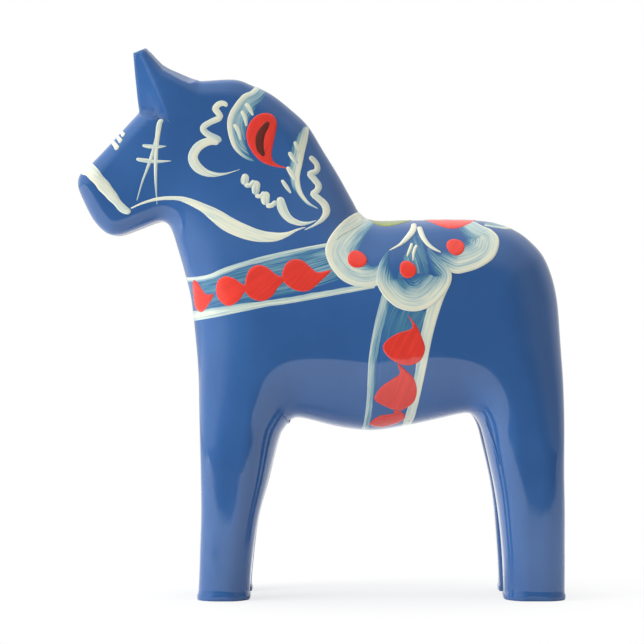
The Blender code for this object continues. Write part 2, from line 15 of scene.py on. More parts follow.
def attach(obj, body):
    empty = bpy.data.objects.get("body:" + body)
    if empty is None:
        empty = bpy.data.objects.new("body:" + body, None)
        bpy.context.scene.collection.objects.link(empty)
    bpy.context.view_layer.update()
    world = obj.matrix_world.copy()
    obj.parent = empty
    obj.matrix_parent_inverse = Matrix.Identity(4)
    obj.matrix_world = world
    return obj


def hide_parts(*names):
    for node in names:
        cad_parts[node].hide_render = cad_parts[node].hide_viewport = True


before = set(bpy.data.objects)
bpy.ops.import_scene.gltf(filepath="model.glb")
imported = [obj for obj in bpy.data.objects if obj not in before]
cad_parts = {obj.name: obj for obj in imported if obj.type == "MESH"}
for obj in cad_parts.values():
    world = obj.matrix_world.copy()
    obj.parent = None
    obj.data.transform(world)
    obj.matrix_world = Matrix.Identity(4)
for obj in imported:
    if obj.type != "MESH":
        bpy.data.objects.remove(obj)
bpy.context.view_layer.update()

MM = 0.001
RNG_SEED = 7

# ---- the carved form, in mm

EAR_TIP_FRONT = (-44.8, 131.3)
EAR_TIP_BACK = (-42.7, 131.9)
BROW = (-43.1, 114.8)
EAR_ROOT = (-28.6, 122.3)
TOPLINE = [
    EAR_ROOT, (-20.6, 122.6), (-16.2, 121.1), (-11.7, 119), (-6.9, 115.3), (-3, 111.5), (0.6, 105.7),
    (4.1, 100), (7.3, 94.2), (9.6, 90.5), (13.2, 89), (22, 89.1), (31.3, 89.2), (39.3, 88.9),
    (45.2, 87.2), (49.5, 84.3), (53.4, 79.3), (56, 70.1), (56.8, 56.3), (57.2, 45.9), (57.2, 32.5),
    (57.2, 13.7), (57.2, -4)]
HIND_LEG_FRONT = [
    (43.4, -4), (42.7, 11.1), (41.4, 24), (38.9, 35.8), (37.5, 40.8), (35.6, 43.2), (33, 43.3),
    (26.7, 41.8), (20.3, 40.4), (12.6, 39.1), (4.8, 40), (-4, 42.2), (-6.6, 42.1), (-8.4, 40.2),
    (-10, 37), (-12.4, 27.3), (-15, 17), (-16.6, 3.1), (-16.8, -4)]
FRONT_LEG_FRONT = [
    (-28.8, -4), (-28.3, 12.7), (-28, 25.2), (-28.3, 37.9), (-28.9, 54), (-30.4, 68.9), (-32.2, 76.5),
    (-33.8, 82.2), (-35.1, 86.4), (-36.4, 88.4), (-38.6, 88.9), (-43.4, 87.1), (-47.6, 85.7),
    (-50.8, 86.1), (-54, 89.2), (-56.6, 94.2), (-57.8, 97.6), (-57.2, 100.2), (-54.6, 102.5),
    (-45.9, 111.8), BROW]
EAR_FRONT = [BROW, (-43.7, 119.6), (-44.3, 126.2), EAR_TIP_FRONT]
EAR_TIP = [EAR_TIP_FRONT, EAR_TIP_BACK]
EAR_BACK = [EAR_TIP_BACK, (-37.5, 126.3), (-33.3, 124.2), EAR_ROOT]

# (x, z, half width, edge radius) at places in the side view.
GIRTH_STATIONS = [
    (-56, 97, 6.6, 4.2), (-50, 87, 7, 4), (-50, 106, 6.4, 3.2), (-44, 98, 8.2, 5.2), (-37, 90, 9, 4.6),
    (-38, 108, 8.4, 4.4), (-43, 116, 7.6, 4), (-43, 128, 6.2, 2), (-30, 120, 8.2, 4),
    (-20, 119, 8.6, 5), (-10, 114, 9.2, 6), (-24, 103, 10.2, 8.5), (2, 100, 10.6, 7),
    (-30, 88, 11.4, 8), (-12, 90, 13.2, 11), (8, 90, 14.4, 10), (-31, 74, 15.4, 10), (-8, 76, 17.2, 14),
    (20, 86, 17, 12), (42, 84, 16.6, 12), (-27, 52, 18, 9), (-8, 58, 19, 16), (16, 60, 19.3, 17.5),
    (38, 62, 19, 14), (55, 64, 17.8, 11), (16, 44, 18.9, 17.5), (-22, 36, 18.5, 6.4),
    (48, 36, 18.5, 6.8), (-22, 14, 18.3, 5.8), (50, 14, 18.3, 6.2), (-22, -4, 18.3, 5.6),
    (50, -4, 18.3, 5.8)]

# The gap between the left and right legs: half widths, height, and the edge radius at its rim.
GAP_FOOT, GAP_HEAD, GAP_CROWN_Z, GAP_EDGE = 5.8, 4.4, 44.5, 2.2
FRONT_GAP_END_X, HIND_GAP_END_X = -5.0, 34.0
# The V cut between the ears: its floor line, how it opens with height, and its edge radius.
NOTCH_FRONT, NOTCH_BACK = (-44.0, 116.5), (-30.0, 122.4)
NOTCH_SLOPE, NOTCH_HALF, NOTCH_EDGE = 0.3, 2.3, 0.6

# Saw bevel along the back of the ears: slope, where it starts, and where it fades out.
BEVEL_SLOPE, BEVEL_START_Y, BEVEL_END_X = 0.31, 2.4, -31.0
FACET_EDGE, CUT_EDGE = 0.35, 0.15

# The bead of enamel that gathered round each foot.
BEAD_HEIGHT, BEAD_Z, BEAD_REACH = 0.3, 0.7, 0.7

# The side view's lookup grid.
GRID = 0.35
GRID_LOW = np.array([-64.0, -8.0])
GRID_HIGH = np.array([64.0, 136.0])

# Remesh sizes, enamel film, the wood's depth below the enamel, and the extra depth at the ears.
COAT_VOXEL, WOOD_VOXEL, FIRST_LIFT = 0.62, 1.0, 0.9
COAT_FILM, WOOD_INSET = 0.22, 0.7
EAR_EXTRA, EAR_EXTRA_Z, EAR_EXTRA_REACH = 0.9, 108, 6
SOLE_Z = 0.25


def catmull(points, steps):
    """Sample a Catmull-Rom curve through the points, ends included."""
    pts = [np.array(p, float) for p in points]
    pts = [2 * pts[0] - pts[1]] + pts + [2 * pts[-1] - pts[-2]]
    out = []
    for a, b, c, d in zip(pts, pts[1:], pts[2:], pts[3:]):
        for t in np.arange(steps) / steps:
            out.append(0.5 * (2 * b + (c - a) * t + (2 * a - 5 * b + 4 * c - d) * t**2
                              + (3 * b - a - 3 * c + d) * t**3))
    return np.array(out + [pts[-2]])


def silhouette():
    """The whole outline of the side view, as one closed loop."""
    corners = (BROW, EAR_TIP_FRONT, EAR_TIP_BACK, EAR_ROOT)
    parts = []
    for run in (TOPLINE, HIND_LEG_FRONT, FRONT_LEG_FRONT, EAR_FRONT, EAR_TIP, EAR_BACK):
        pts = catmull(run, 6) if len(run) > 2 else np.array(run, float)
        parts.append(pts[:-1] if run[-1] in corners else pts)
    return np.vstack(parts)


def side_depth(xz, loop):
    """Distance of each point inside the closed outline, negative outside."""
    a, b = loop, np.roll(loop, -1, axis=0)
    edge = b - a
    length2 = (edge**2).sum(1)
    depth = np.full(len(xz), 1e9)
    inside = np.zeros(len(xz), bool)
    for i in range(len(a)):
        rel = xz - a[i]
        t = np.clip(rel @ edge[i] / length2[i], 0, 1)
        gap = rel - t[:, None] * edge[i]
        depth = np.minimum(depth, (gap**2).sum(1))
        if a[i, 1] != b[i, 1]:
            crosses = (a[i, 1] > xz[:, 1]) != (b[i, 1] > xz[:, 1])
            at = a[i, 0] + (xz[:, 1] - a[i, 1]) / edge[i, 1] * edge[i, 0]
            inside ^= crosses & (xz[:, 0] < at)
    return np.sqrt(depth) * np.where(inside, 1, -1)


def plate(places, values, at):
    """Thin-plate spline through values at scattered places, read at other places."""
    def kernel(p, q):
        r2 = ((p[:, None] - q[None])**2).sum(2)
        return r2 * np.log(r2 + 1e-12)
    places, at = places / 100, at / 100
    n = len(places)
    system = np.zeros((n + 3, n + 3))
    system[:n, :n] = kernel(places, places)
    system[:n, n] = 1
    system[:n, n + 1:] = places
    system[n:, :n] = system[:n, n:].T
    w = np.linalg.solve(system, np.append(values, [0, 0, 0]))
    return kernel(at, places) @ w[:n] + w[n] + at @ w[n + 1:]


def soft_max(a, b, radius):
    """The larger of two values, rounded off where they are closer than the radius."""
    h = np.clip(0.5 + 0.5 * (a - b) / radius, 0, 1)
    return b + (a - b) * h + radius * h * (1 - h)


def soft_min(a, b, radius):
    return -soft_max(-a, -b, radius)


def plane(p, q, r):
    """Plane through three points on the left side, positive away from the body's middle."""
    p, q, r = (np.array(v, float) for v in (p, q, r))
    normal = np.cross(q - p, r - p)
    normal /= np.linalg.norm(normal)
    if normal @ (np.array([-20.0, 0, 100]) - p) > 0:
        normal = -normal
    return normal, normal @ p


# Knife cuts, mirrored to the right side: the ear's flat front, and the stop cut it ends at.
EAR_FACET = plane((-41.0, -7.0, 127.4), (-35.4, -8.9, 112.8), (-43.6, -3.4, 115.6))
STOP_CUT = plane((-43.1, -3.4, 114.9), (-35.6, -8.8, 112.5), (-43.1, -7.4, 113.9))


class Form:
    """Distance-like field of the horse: zero on the enamel's surface, negative inside."""

    def __init__(self):
        self.count = ((GRID_HIGH - GRID_LOW) / GRID).astype(int) + 1
        gx, gz = np.meshgrid(np.arange(self.count[0]), np.arange(self.count[1]), indexing="ij")
        xz = np.stack([gx.ravel(), gz.ravel()], axis=1) * GRID + GRID_LOW
        table = np.array(GIRTH_STATIONS, float)
        shape = tuple(self.count)
        width = plate(table[:, :2], table[:, 2], xz)
        radius = np.minimum(plate(table[:, :2], table[:, 3], xz), width - 0.8)
        self.maps = np.stack([side_depth(xz, silhouette()).reshape(shape),
                              width.reshape(shape), radius.reshape(shape)], axis=-1)

    def look_up(self, xz):
        """Depth inside the outline, half width and edge radius at places in the side view."""
        at = np.clip((xz - GRID_LOW) / GRID, 0, self.count - 1.001)
        cell = at.astype(int)
        fx, fz = (at - cell).T[:, :, None]
        i, k = cell.T
        m = self.maps
        return ((m[i, k] * (1 - fx) + m[i + 1, k] * fx) * (1 - fz)
                + (m[i, k + 1] * (1 - fx) + m[i + 1, k + 1] * fx) * fz).T

    def leg_gap(self, p, x_end, side):
        """Positive inside the gap between a left and a right leg, in front of or behind x_end."""
        half = GAP_FOOT + (GAP_HEAD - GAP_FOOT) * np.clip(p[:, 2] / GAP_CROWN_Z, 0, 1)
        over = np.maximum(p[:, 2] - (GAP_CROWN_Z - GAP_HEAD), 0)
        return np.minimum(half - np.hypot(p[:, 1], over), side * (p[:, 0] - x_end))

    def head_facets(self, p):
        """Positive outside both knife cuts at the ear."""
        mirrored = np.stack([p[:, 0], -np.abs(p[:, 1]), p[:, 2]], axis=1)
        ear = mirrored @ EAR_FACET[0] - EAR_FACET[1]
        stop = mirrored @ STOP_CUT[0] - STOP_CUT[1]
        return soft_min(ear, stop, CUT_EDGE)

    def ear_bevel(self, p):
        """The ear's sawn back edge, cut a little outward so that it faces up and sideways."""
        back = np.array(EAR_BACK)
        below = (np.interp(p[:, 0], back[:, 0], back[:, 1]) - p[:, 2]) * 0.83
        away = np.maximum(p[:, 0] - BEVEL_END_X, 0) * 0.5
        return 0.95 * (BEVEL_SLOPE * (np.abs(p[:, 1]) - BEVEL_START_Y) - below) - away

    def hand_work(self, p):
        """Slow unevenness left by the knife, the sanding and the dipping."""
        x, y, z = p.T
        wave = np.sin(x / 5.3 + 0.7 * np.sin(z / 9.0)) * np.sin(z / 6.1 + y / 7.0 + 1.3)
        wave += 0.6 * np.sin(x / 3.1 + z / 8.3 + 2.1) * np.sin(z / 3.7 - y / 5.0)
        return 0.07 * wave

    def __call__(self, p):
        """The field at each point: the rounded slab of the side view, with every cut taken."""
        depth, width, radius = self.look_up(p[:, [0, 2]])
        y = np.abs(p[:, 1])
        rim = radius - depth
        face = y - width + radius
        field = np.hypot(np.maximum(rim, 0), np.maximum(face, 0))
        field += np.minimum(np.maximum(rim, face), 0) - radius
        field = soft_max(field, self.leg_gap(p, FRONT_GAP_END_X, -1), GAP_EDGE)
        field = soft_max(field, self.leg_gap(p, HIND_GAP_END_X, 1), GAP_EDGE)
        climb = (NOTCH_BACK[1] - NOTCH_FRONT[1]) / (NOTCH_BACK[0] - NOTCH_FRONT[0])
        root = NOTCH_FRONT[1] + climb * (p[:, 0] - NOTCH_FRONT[0])
        notch = np.minimum(NOTCH_SLOPE * (p[:, 2] - root), NOTCH_HALF)
        field = soft_max(field, notch - y, NOTCH_EDGE)
        field = soft_max(field, self.head_facets(p), FACET_EDGE)
        field = soft_max(field, self.ear_bevel(p), CUT_EDGE)
        bead = BEAD_HEIGHT * np.exp(-((p[:, 2] - BEAD_Z) / BEAD_REACH)**2)
        return field - bead + self.hand_work(p)

    def gradient(self, p, step=0.05):
        """Slope of the field, and its value, from four places around each point."""
        corners = np.array([[1, -1, -1], [-1, -1, 1], [-1, 1, -1], [1, 1, 1]], float)
        values = [self(p + step * c) for c in corners]
        slope = sum(c[None] * v[:, None] for c, v in zip(corners, values)) / (4 * step)
        return slope, sum(values) / 4

    def normal(self, p):
        slope = self.gradient(p)[0]
        return slope / np.linalg.norm(slope, axis=1)[:, None]

    def land(self, p, rounds, height=0.0):
        """Bring points onto the surface, or to a height above it."""
        for _ in range(rounds):
            slope, value = self.gradient(p)
            size2 = np.maximum((slope**2).sum(1), 0.05)
            move = -((value - height) / size2)[:, None] * slope
            p = p + move * np.minimum(1, 2.0 / (np.linalg.norm(move, axis=1) + 1e-9))[:, None]
        return p

    def on_side(self, xz, side):
        """Surface points seen at (x, z) from one side."""
        xz = np.asarray(xz, float)
        y = self.look_up(xz)[1] + 1
        for _ in range(14):
            p = np.stack([xz[:, 0], side * y, xz[:, 1]], axis=1)
            y = y - np.clip(self(p), -1.5, 1.5) * 0.9
            y = np.maximum(y, 0.0)
        return np.stack([xz[:, 0], side * y, xz[:, 1]], axis=1)

    def on_top(self, xy):
        """Surface points seen at (x, y) from above."""
        xy = np.asarray(xy, float)
        z = np.full(len(xy), 100.0)
        for _ in range(40):
            p = np.stack([xy[:, 0], xy[:, 1], z], axis=1)
            z = z - np.clip(self(p), -1.5, 1.5) * 0.9
        return np.stack([xy[:, 0], xy[:, 1], z], axis=1)


FORM = Form()


# ---- Blender helpers

def mesh_points(mesh):
    co = np.empty(len(mesh.vertices) * 3)
    mesh.vertices.foreach_get("co", co)
    return co.reshape(-1, 3)


def set_points(mesh, points):
    mesh.vertices.foreach_set("co", np.asarray(points, float).ravel())
    mesh.update()


def add_object(name, mesh):
    obj = bpy.data.objects.new(name, mesh)
    bpy.context.scene.collection.objects.link(obj)
    return obj


def apply_modifiers(obj):
    """Give the object the mesh its modifiers make, and drop them."""
    depsgraph = bpy.context.evaluated_depsgraph_get()
    mesh = bpy.data.meshes.new_from_object(obj.evaluated_get(depsgraph))
    obj.modifiers.clear()
    obj.data = mesh
    return mesh


def hand_over(obj, mat, nodes):
    """Give a finished piece its material and its body, and hide the CAD nodes it stands for."""
    obj.data.materials.append(mat)
    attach(obj, "root")
    if nodes:
        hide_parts(*nodes)


# ---- enamel and wood

def fine_body(voxel, inset):
    """Closed fine surface of the horse with flat soles, inset mm inside the enamel's surface."""
    obj = add_object("fine_body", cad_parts["carved_pine_body"].data.copy())
    obj.data.materials.clear()
    for height in (FIRST_LIFT, -inset, -inset):
        mod = obj.modifiers.new("even_out", 'REMESH')
        mod.mode = 'VOXEL'
        mod.voxel_size = voxel * MM
        mesh = apply_modifiers(obj)
        p = mesh_points(mesh) / MM
        sole = p[:, 2] < SOLE_Z
        if height < 0:
            # Thinner wood inside the ears, so that none shows in the notch between them.
            height = height - EAR_EXTRA * np.clip((p[:, 2] - EAR_EXTRA_Z) / EAR_EXTRA_REACH, 0, 1)
        p = FORM.land(p, 3, height)
        p[:, 2] = np.where(sole | (p[:, 2] < 0), 0.0, p[:, 2])
        set_points(mesh, p * MM)
    mesh.shade_smooth()
    return obj


def build_coat():
    """The dipped enamel: a thin film over the whole body, open at the four bare soles."""
    coat = fine_body(COAT_VOXEL, 0.0)
    coat.name = "enamel_coat"
    bm = bmesh.new()
    bm.from_mesh(coat.data)
    soles = [f for f in bm.faces if all(v.co.z < 1e-6 for v in f.verts)]
    bmesh.ops.delete(bm, geom=soles, context='FACES')
    bm.to_mesh(coat.data)
    bm.free()
    film = coat.modifiers.new("film", 'SOLIDIFY')
    film.thickness = COAT_FILM * MM
    film.offset = -1
    hand_over(coat, ENAMEL, ["blue_enamel_coat"])


def build_wood():
    """The carved block, seen only at the four soles."""
    wood = fine_body(WOOD_VOXEL, WOOD_INSET)
    wood.name = "pine_body"
    hand_over(wood, PINE, ["carved_pine_body"])


# ---- materials

class Nodes:
    """Short-hand for building a material's node tree."""

    def __init__(self, name, tree=None):
        self.tree = tree
        if tree is None:
            self.mat = bpy.data.materials.new(name)
            self.mat.use_nodes = True
            self.tree = self.mat.node_tree
            self.bsdf = self.tree.nodes["Principled BSDF"]

    def add(self, kind, inputs=None, **settings):
        node = self.tree.nodes.new(kind)
        for key, value in settings.items():
            setattr(node, key, value)
        for key, value in (inputs or {}).items():
            self.put(node.inputs[key], value)
        return node

    def put(self, socket, value):
        if hasattr(value, "is_output"):
            self.tree.links.new(value, socket)
        else:
            socket.default_value = value

    def math(self, operation, a, b, clamp=False):
        return self.add('ShaderNodeMath', {0: a, 1: b}, operation=operation, use_clamp=clamp).outputs[0]

    def ramp(self, value, low, high, out_low=0.0, out_high=1.0):
        """A smooth step of the value from out_low to out_high."""
        inputs = dict(enumerate((value, low, high, out_low, out_high)))
        return self.add('ShaderNodeMapRange', inputs, interpolation_type='SMOOTHSTEP').outputs[0]

    def mix(self, factor, a, b, blend='MIX'):
        inputs = {0: factor, 6: a, 7: b}
        return self.add('ShaderNodeMix', inputs, data_type='RGBA', blend_type=blend).outputs[2]

    def noise(self, vector, scale, detail, rough=0.5):
        return self.add('ShaderNodeTexNoise', {"Vector": vector, "Scale": scale, "Detail": detail,
                                               "Roughness": rough}).outputs[0]

    def place(self, scale=(1, 1, 1)):
        """The mesh's own coordinates in millimetres, stretched by scale."""
        coord = self.add('ShaderNodeTexCoord').outputs["Object"]
        scale = [s / MM for s in scale]
        return self.add('ShaderNodeMapping', {"Vector": coord, "Scale": scale}).outputs[0]

    def bump(self, height, distance_mm, strength, normal=None):
        node = self.add('ShaderNodeBump', {"Height": height, "Distance": distance_mm * MM,
                                           "Strength": strength})
        if normal is not None:
            self.put(node.inputs["Normal"], normal)
        return node.outputs[0]


BLUE_DEEP = (0.033, 0.109, 0.303, 1)
BLUE_THIN = (0.043, 0.134, 0.360, 1)
RED_BRIGHT = (0.93, 0.062, 0.042, 1)
RED_DEEP = (0.72, 0.046, 0.032, 1)
DARK_WINE = (0.10, 0.030, 0.024, 1)
DARK_BROWN = (0.20, 0.034, 0.026, 1)
# Cream over blue: how the colour grows from bare enamel to full cover.
CREAM_BUILD = [
    (0, (0.05, 0.16, 0.34, 1)), (0.15, (0.07, 0.217, 0.35, 1)), (0.4, (0.26, 0.44, 0.52, 1)),
    (0.6, (0.45, 0.58, 0.57, 1)), (0.8, (0.62, 0.72, 0.65, 1)), (1, (0.82, 0.83, 0.66, 1))]
CREAM_WARM = (1.0, 0.96, 0.82, 1)
GREEN_LEAF = (0.20, 0.28, 0.05, 1)
GREEN_PALE = (0.34, 0.38, 0.11, 1)
PINE_PALE = (0.72, 0.52, 0.30, 1)
PINE_RING = (0.42, 0.23, 0.09, 1)


def enamel_colour(n):
    """Blue that pools a little darker and thins a little lighter from place to place."""
    pool = n.noise(n.place(), 0.045, 3.0)
    fine = n.noise(n.place(), 0.6, 2.0)
    shade = n.math('ADD', n.ramp(pool, 0.3, 0.7), n.math('MULTIPLY', fine, 0.25))
    return n.mix(n.math('MULTIPLY', shade, 0.8, clamp=True), BLUE_DEEP, BLUE_THIN)


def varnish_bump(n, extra=None):
    """Dust caught in the varnish over the soft unevenness of a dipped coat."""
    speck = n.add('ShaderNodeTexVoronoi', {"Vector": n.place(), "Scale": 0.22, "Randomness": 1.0})
    dust = n.ramp(speck.outputs["Distance"], 0.05, 0.02)
    swell = n.noise(n.place(), 0.16, 1.0)
    height = n.math('ADD', n.math('MULTIPLY', dust, 0.25), swell)
    return n.bump(height, 0.05, 0.6, extra)


def gloss(n, roughness):
    """Clear varnish over whatever colour lies below."""
    for socket, value in (("IOR", 1.5), ("Roughness", roughness), ("Coat Weight", 0.35),
                          ("Coat Roughness", 0.03)):
        n.put(n.bsdf.inputs[socket], value)


def enamel_material():
    n = Nodes("blue_enamel")
    n.put(n.bsdf.inputs["Base Color"], enamel_colour(n))
    rub = n.noise(n.place(), 0.3, 3.0)
    gloss(n, n.ramp(rub, 0.35, 0.75, 0.05, 0.12))
    n.put(n.bsdf.inputs["Normal"], varnish_bump(n))
    return n.mat


def stroke_vector(n, along, across):
    """Brush coordinates: x along the stroke, y across it, both in mm, from the UV map."""
    uv = n.add('ShaderNodeUVMap', uv_map="brush").outputs[0]
    return n.add('ShaderNodeMapping', {"Vector": uv, "Scale": (along, across, 1)}).outputs[0]


def brush_marks(n):
    """Fine bristle lines over a slower change of pressure, both running with the stroke."""
    bristle = n.noise(stroke_vector(n, 0.07, 3.2), 1.0, 3.0, 0.6)
    broad = n.noise(stroke_vector(n, 0.12, 0.8), 1.0, 2.0)
    return n.math('ADD', n.math('MULTIPLY', bristle, 0.7), n.math('MULTIPLY', broad, 0.3))


def finish_paint(n, tint, mark):
    """Give a paint its colour, its sheen and the ridges that the bristles left."""
    n.put(n.bsdf.inputs["Base Color"], tint)
    gloss(n, n.ramp(mark, 0.3, 0.7, 0.14, 0.08))
    n.put(n.bsdf.inputs["Normal"], varnish_bump(n, n.bump(mark, 0.04, 0.5)))
    return n.mat


def cream_material():
    """Oil cream whose cover follows the paint carried, streak by streak."""
    n = Nodes("cream_paint")
    load = n.add('ShaderNodeAttribute', attribute_name="load").outputs["Fac"]
    mark = brush_marks(n)
    spread = n.math('MULTIPLY', n.math('SUBTRACT', mark, 0.5), 2.0)
    cover = n.math('ADD', load, n.math('MULTIPLY', spread, n.ramp(load, 0.0, 0.25)), clamp=True)
    build = n.add('ShaderNodeValToRGB', {"Fac": cover})
    stops = build.color_ramp.elements
    for place, _ in CREAM_BUILD[1:-1]:
        stops.new(place)
    for stop, (place, colour) in zip(stops, CREAM_BUILD):
        stop.position, stop.color = place, colour
    warm = n.noise(stroke_vector(n, 0.25, 1.6), 1.0, 2.0)
    tinted = n.mix(n.ramp(warm, 0.5, 0.72, 0.0, 0.3), build.outputs["Color"], CREAM_WARM, 'MULTIPLY')
    tint = n.mix(n.ramp(cover, 0.0, 0.12), enamel_colour(n), tinted)
    return finish_paint(n, tint, mark)


def colour_material(name, light, dark):
    """Full-bodied oil colour with faint bristle streaks."""
    n = Nodes(name)
    load = n.add('ShaderNodeAttribute', attribute_name="load").outputs["Fac"]
    mark = brush_marks(n)
    lit = n.math('ADD', mark, n.math('MULTIPLY', n.math('SUBTRACT', load, 1.0), 0.5))
    return finish_paint(n, n.mix(n.ramp(lit, 0.22, 0.7), dark, light), mark)


def pine_material():
    """End grain and knife-cut pine: close growth rings, lighter early wood."""
    n = Nodes("pine")
    warp = n.noise(n.place(), 0.08, 2.0)
    rings = n.add('ShaderNodeTexWave', {"Vector": n.place((1, 1, 0.05)), "Scale": 0.16,
                                        "Distortion": 2.0, "Detail": 3.0}, wave_type='RINGS',
                  rings_direction='Z')
    grain = n.math('ADD', rings.outputs["Fac"], n.math('MULTIPLY', warp, 0.3))
    pores = n.noise(n.place((1, 1, 0.1)), 2.5, 2.0)
    base = n.mix(n.ramp(grain, 0.3, 1.0), PINE_PALE, PINE_RING)
    n.put(n.bsdf.inputs["Base Color"], n.mix(n.ramp(pores, 0.5, 0.8, 0.0, 0.4), base, PINE_RING))
    n.bsdf.inputs["Roughness"].default_value = 0.62
    n.put(n.bsdf.inputs["Normal"], n.bump(n.math('ADD', grain, pores), 0.12, 0.6))
    return n.mat


ENAMEL = enamel_material()
PINE = pine_material()
CREAM = cream_material()
RED = colour_material("red_paint", RED_BRIGHT, RED_DEEP)
DARK = colour_material("wine_paint", DARK_WINE, DARK_BROWN)
GREEN = colour_material("green_paint", GREEN_LEAF, GREEN_PALE)


# ---- brush strokes

ROW_STEP = 0.35    # mm between rows along a stroke
LAYER = 0.02       # mm that each layer of paint lies above the one below
SINK = 0.02        # mm that a film's thin edge lies below the enamel's surface
UNDER = 0.06       # mm that a film's under side lies below the enamel's surface
RIM_RIDGE = 0.07   # mm of paint pushed up along a petal's rim
HAZE_BODY = 0.03   # mm of paint left inside a petal
STRIP_BODY = 0.06  # mm of paint in a long band
WASH_BODY, WASH_SINK = 0.035, 0.015
stroke_number = [0]
rng = np.random.default_rng(RNG_SEED)

# Across-stroke places, as shares of the width: even for a line, dense at the rim for a petal.
LINE_SPREAD = 0.5 - 0.5 * np.cos(np.linspace(0, math.pi, 10))
PETAL_SPREAD = np.concatenate([[0, 0.012, 0.03, 0.05, 0.08, 0.12, 0.17], np.linspace(0.23, 1, 14)])


def smooth(x, low, high):
    """Nought below low, one above high, and an even curve between."""
    t = np.clip((x - low) / (high - low), 0, 1)
    return t * t * (3 - 2 * t)


def lift(points, side=-1):
    """Stroke points on the surface: (x, z, width) seen from a side, (x, y, z, width) free."""
    out = []
    for p in points:
        if len(p) == 3:
            q = FORM.on_side([(p[0], p[1])], side)[0]
        else:
            q = FORM.land(np.array([[p[0], -side * p[1], p[2]]], float), 10)[0]
        out.append((*q, p[-1]))
    return np.array(out)


def hand_shift(side):
    """The far side was painted by the same hand, never quite in the same place."""
    return rng.uniform(-0.35, 0.35, 2) if side > 0 else np.zeros(2)


def moved(points, shift):
    """Side-view points shifted; points placed in space stay where they are."""
    return [(p[0] + shift[0], p[1] + shift[1], p[2]) if len(p) == 3 else p for p in points]


def over_the_middle(points, middle):
    """One stroke from the left side over the middle plane to the right side."""
    return np.vstack([lift(points, -1), lift(middle), lift(points, 1)[::-1]])


def resample(path, step):
    """Points along a path at an even step, closer together at the two ends."""
    seg = np.linalg.norm(np.diff(path[:, :3], axis=0), axis=1)
    at = np.concatenate([[0], np.cumsum(seg)])
    near = np.array([0.0, 0.03, 0.09, 0.18, 0.3, 0.45, 0.65])
    room = min(1.0, at[-1] / 2.2)
    middle = np.linspace(0.9 * room, at[-1] - 0.9 * room, max(int((at[-1] - 1.8) / step), 3))
    want = np.concatenate([near * room, middle, at[-1] - near[::-1] * room])
    return np.stack([np.interp(want, at, path[:, k]) for k in range(path.shape[1])], axis=1), want


def brush_grid(control, spread, start, side, rough_edge, caps):
    """Rows along the stroke and columns across it, every point on the surface."""
    seed = 1.7 * stroke_number[0]
    path, along = resample(catmull(control, 8) if len(control) > 2 else control, ROW_STEP)
    centre = FORM.land(path[:, :3], 2)
    ahead = np.gradient(centre, along + 1e-6 * np.arange(len(along)), axis=0)
    ahead /= np.linalg.norm(ahead, axis=1)[:, None]
    wave = (np.sin(along / 1.3 + seed) + 0.6 * np.sin(along / 0.55 + 2.3 * seed)
            + 0.8 * np.sin(along / 2.9 + 1.7 * seed)) / 2.4
    width = np.maximum(path[:, 3] + rough_edge * wave * np.minimum(path[:, 3], 1), 0.1)
    if caps:
        tip = np.minimum(along, along[-1] - along)
        reach = 1 - np.clip(tip / np.maximum(0.45 * width, 0.05), 0, 1)
        width = width * np.sqrt(1 - 0.97 * reach**2)
    columns = [None] * len(spread)
    begin = int(np.argmin(np.abs(spread - start)))
    columns[begin] = centre
    for step, stop in ((1, len(spread)), (-1, -1)):
        p = centre
        for j in range(begin + step, stop, step):
            across = np.cross(ahead, FORM.normal(p)) * -side
            across /= np.linalg.norm(across, axis=1)[:, None]
            gap = (spread[j] - spread[j - step]) * width
            p = FORM.land(p + across * gap[:, None], 2)
            columns[j] = p
    return np.stack(columns, axis=1), along, width


def sheet(grid, height, load, along, offset):
    """A film's top points, its sunk under side, faces, brush coordinates and paint carried."""
    rows, cols = grid.shape[:2]
    flat = grid.reshape(-1, 3)
    normal = FORM.normal(flat)
    a = (np.arange(rows - 1)[:, None] * cols + np.arange(cols - 1)[None]).ravel()
    faces = np.stack([a, a + 1, a + cols + 1, a + cols], axis=1).tolist()
    number = stroke_number[0]
    uv = np.stack([np.repeat(along, cols) + 37.0 * number, offset.ravel() + 11.0 * number], axis=1)
    return flat + normal * height.reshape(-1, 1), flat - normal * UNDER, faces, uv, load.ravel()


def line(control, side=-1, height=0.14, layer=0, fade=(1.0, 1.0), rough_edge=0.07, base=0.0):
    """A stroke centred on its path: domed paint with rounded, slightly uneven edges."""
    stroke_number[0] += 1
    grid, along, width = brush_grid(control, LINE_SPREAD, 0.5, side, rough_edge, True)
    v = LINE_SPREAD[None]
    tip = np.minimum(along, along[-1] - along)[:, None]
    dome = 1 - np.abs(2 * v - 1)**3
    body = height * np.minimum(1, width / 0.9)[:, None] * dome * np.sqrt(np.clip(tip / 0.5, 0, 1))
    share = (along / along[-1])[:, None]
    carried = (fade[0] + (fade[1] - fade[0]) * share) * np.ones_like(body)
    return sheet(grid, base + body - SINK + LAYER * layer, carried, along, v * width[:, None])


def strip(control, start, coverage):
    """A long thin band of paint, its coverage given from the left to the right of travel."""
    stroke_number[0] += 1
    spread = np.linspace(0, 1, 11)
    grid, along, width = brush_grid(control, spread, start, -1, 0.12, False)
    v = spread[None]
    edge = smooth(np.minimum(v, 1 - v) * width[:, None], 0, 0.25)
    carried = np.interp(v, np.linspace(0, 1, len(coverage)), coverage) * np.ones_like(edge)
    body = STRIP_BODY * edge * (0.4 + 0.6 * carried) - SINK
    return sheet(grid, body, carried, along, v * width[:, None])


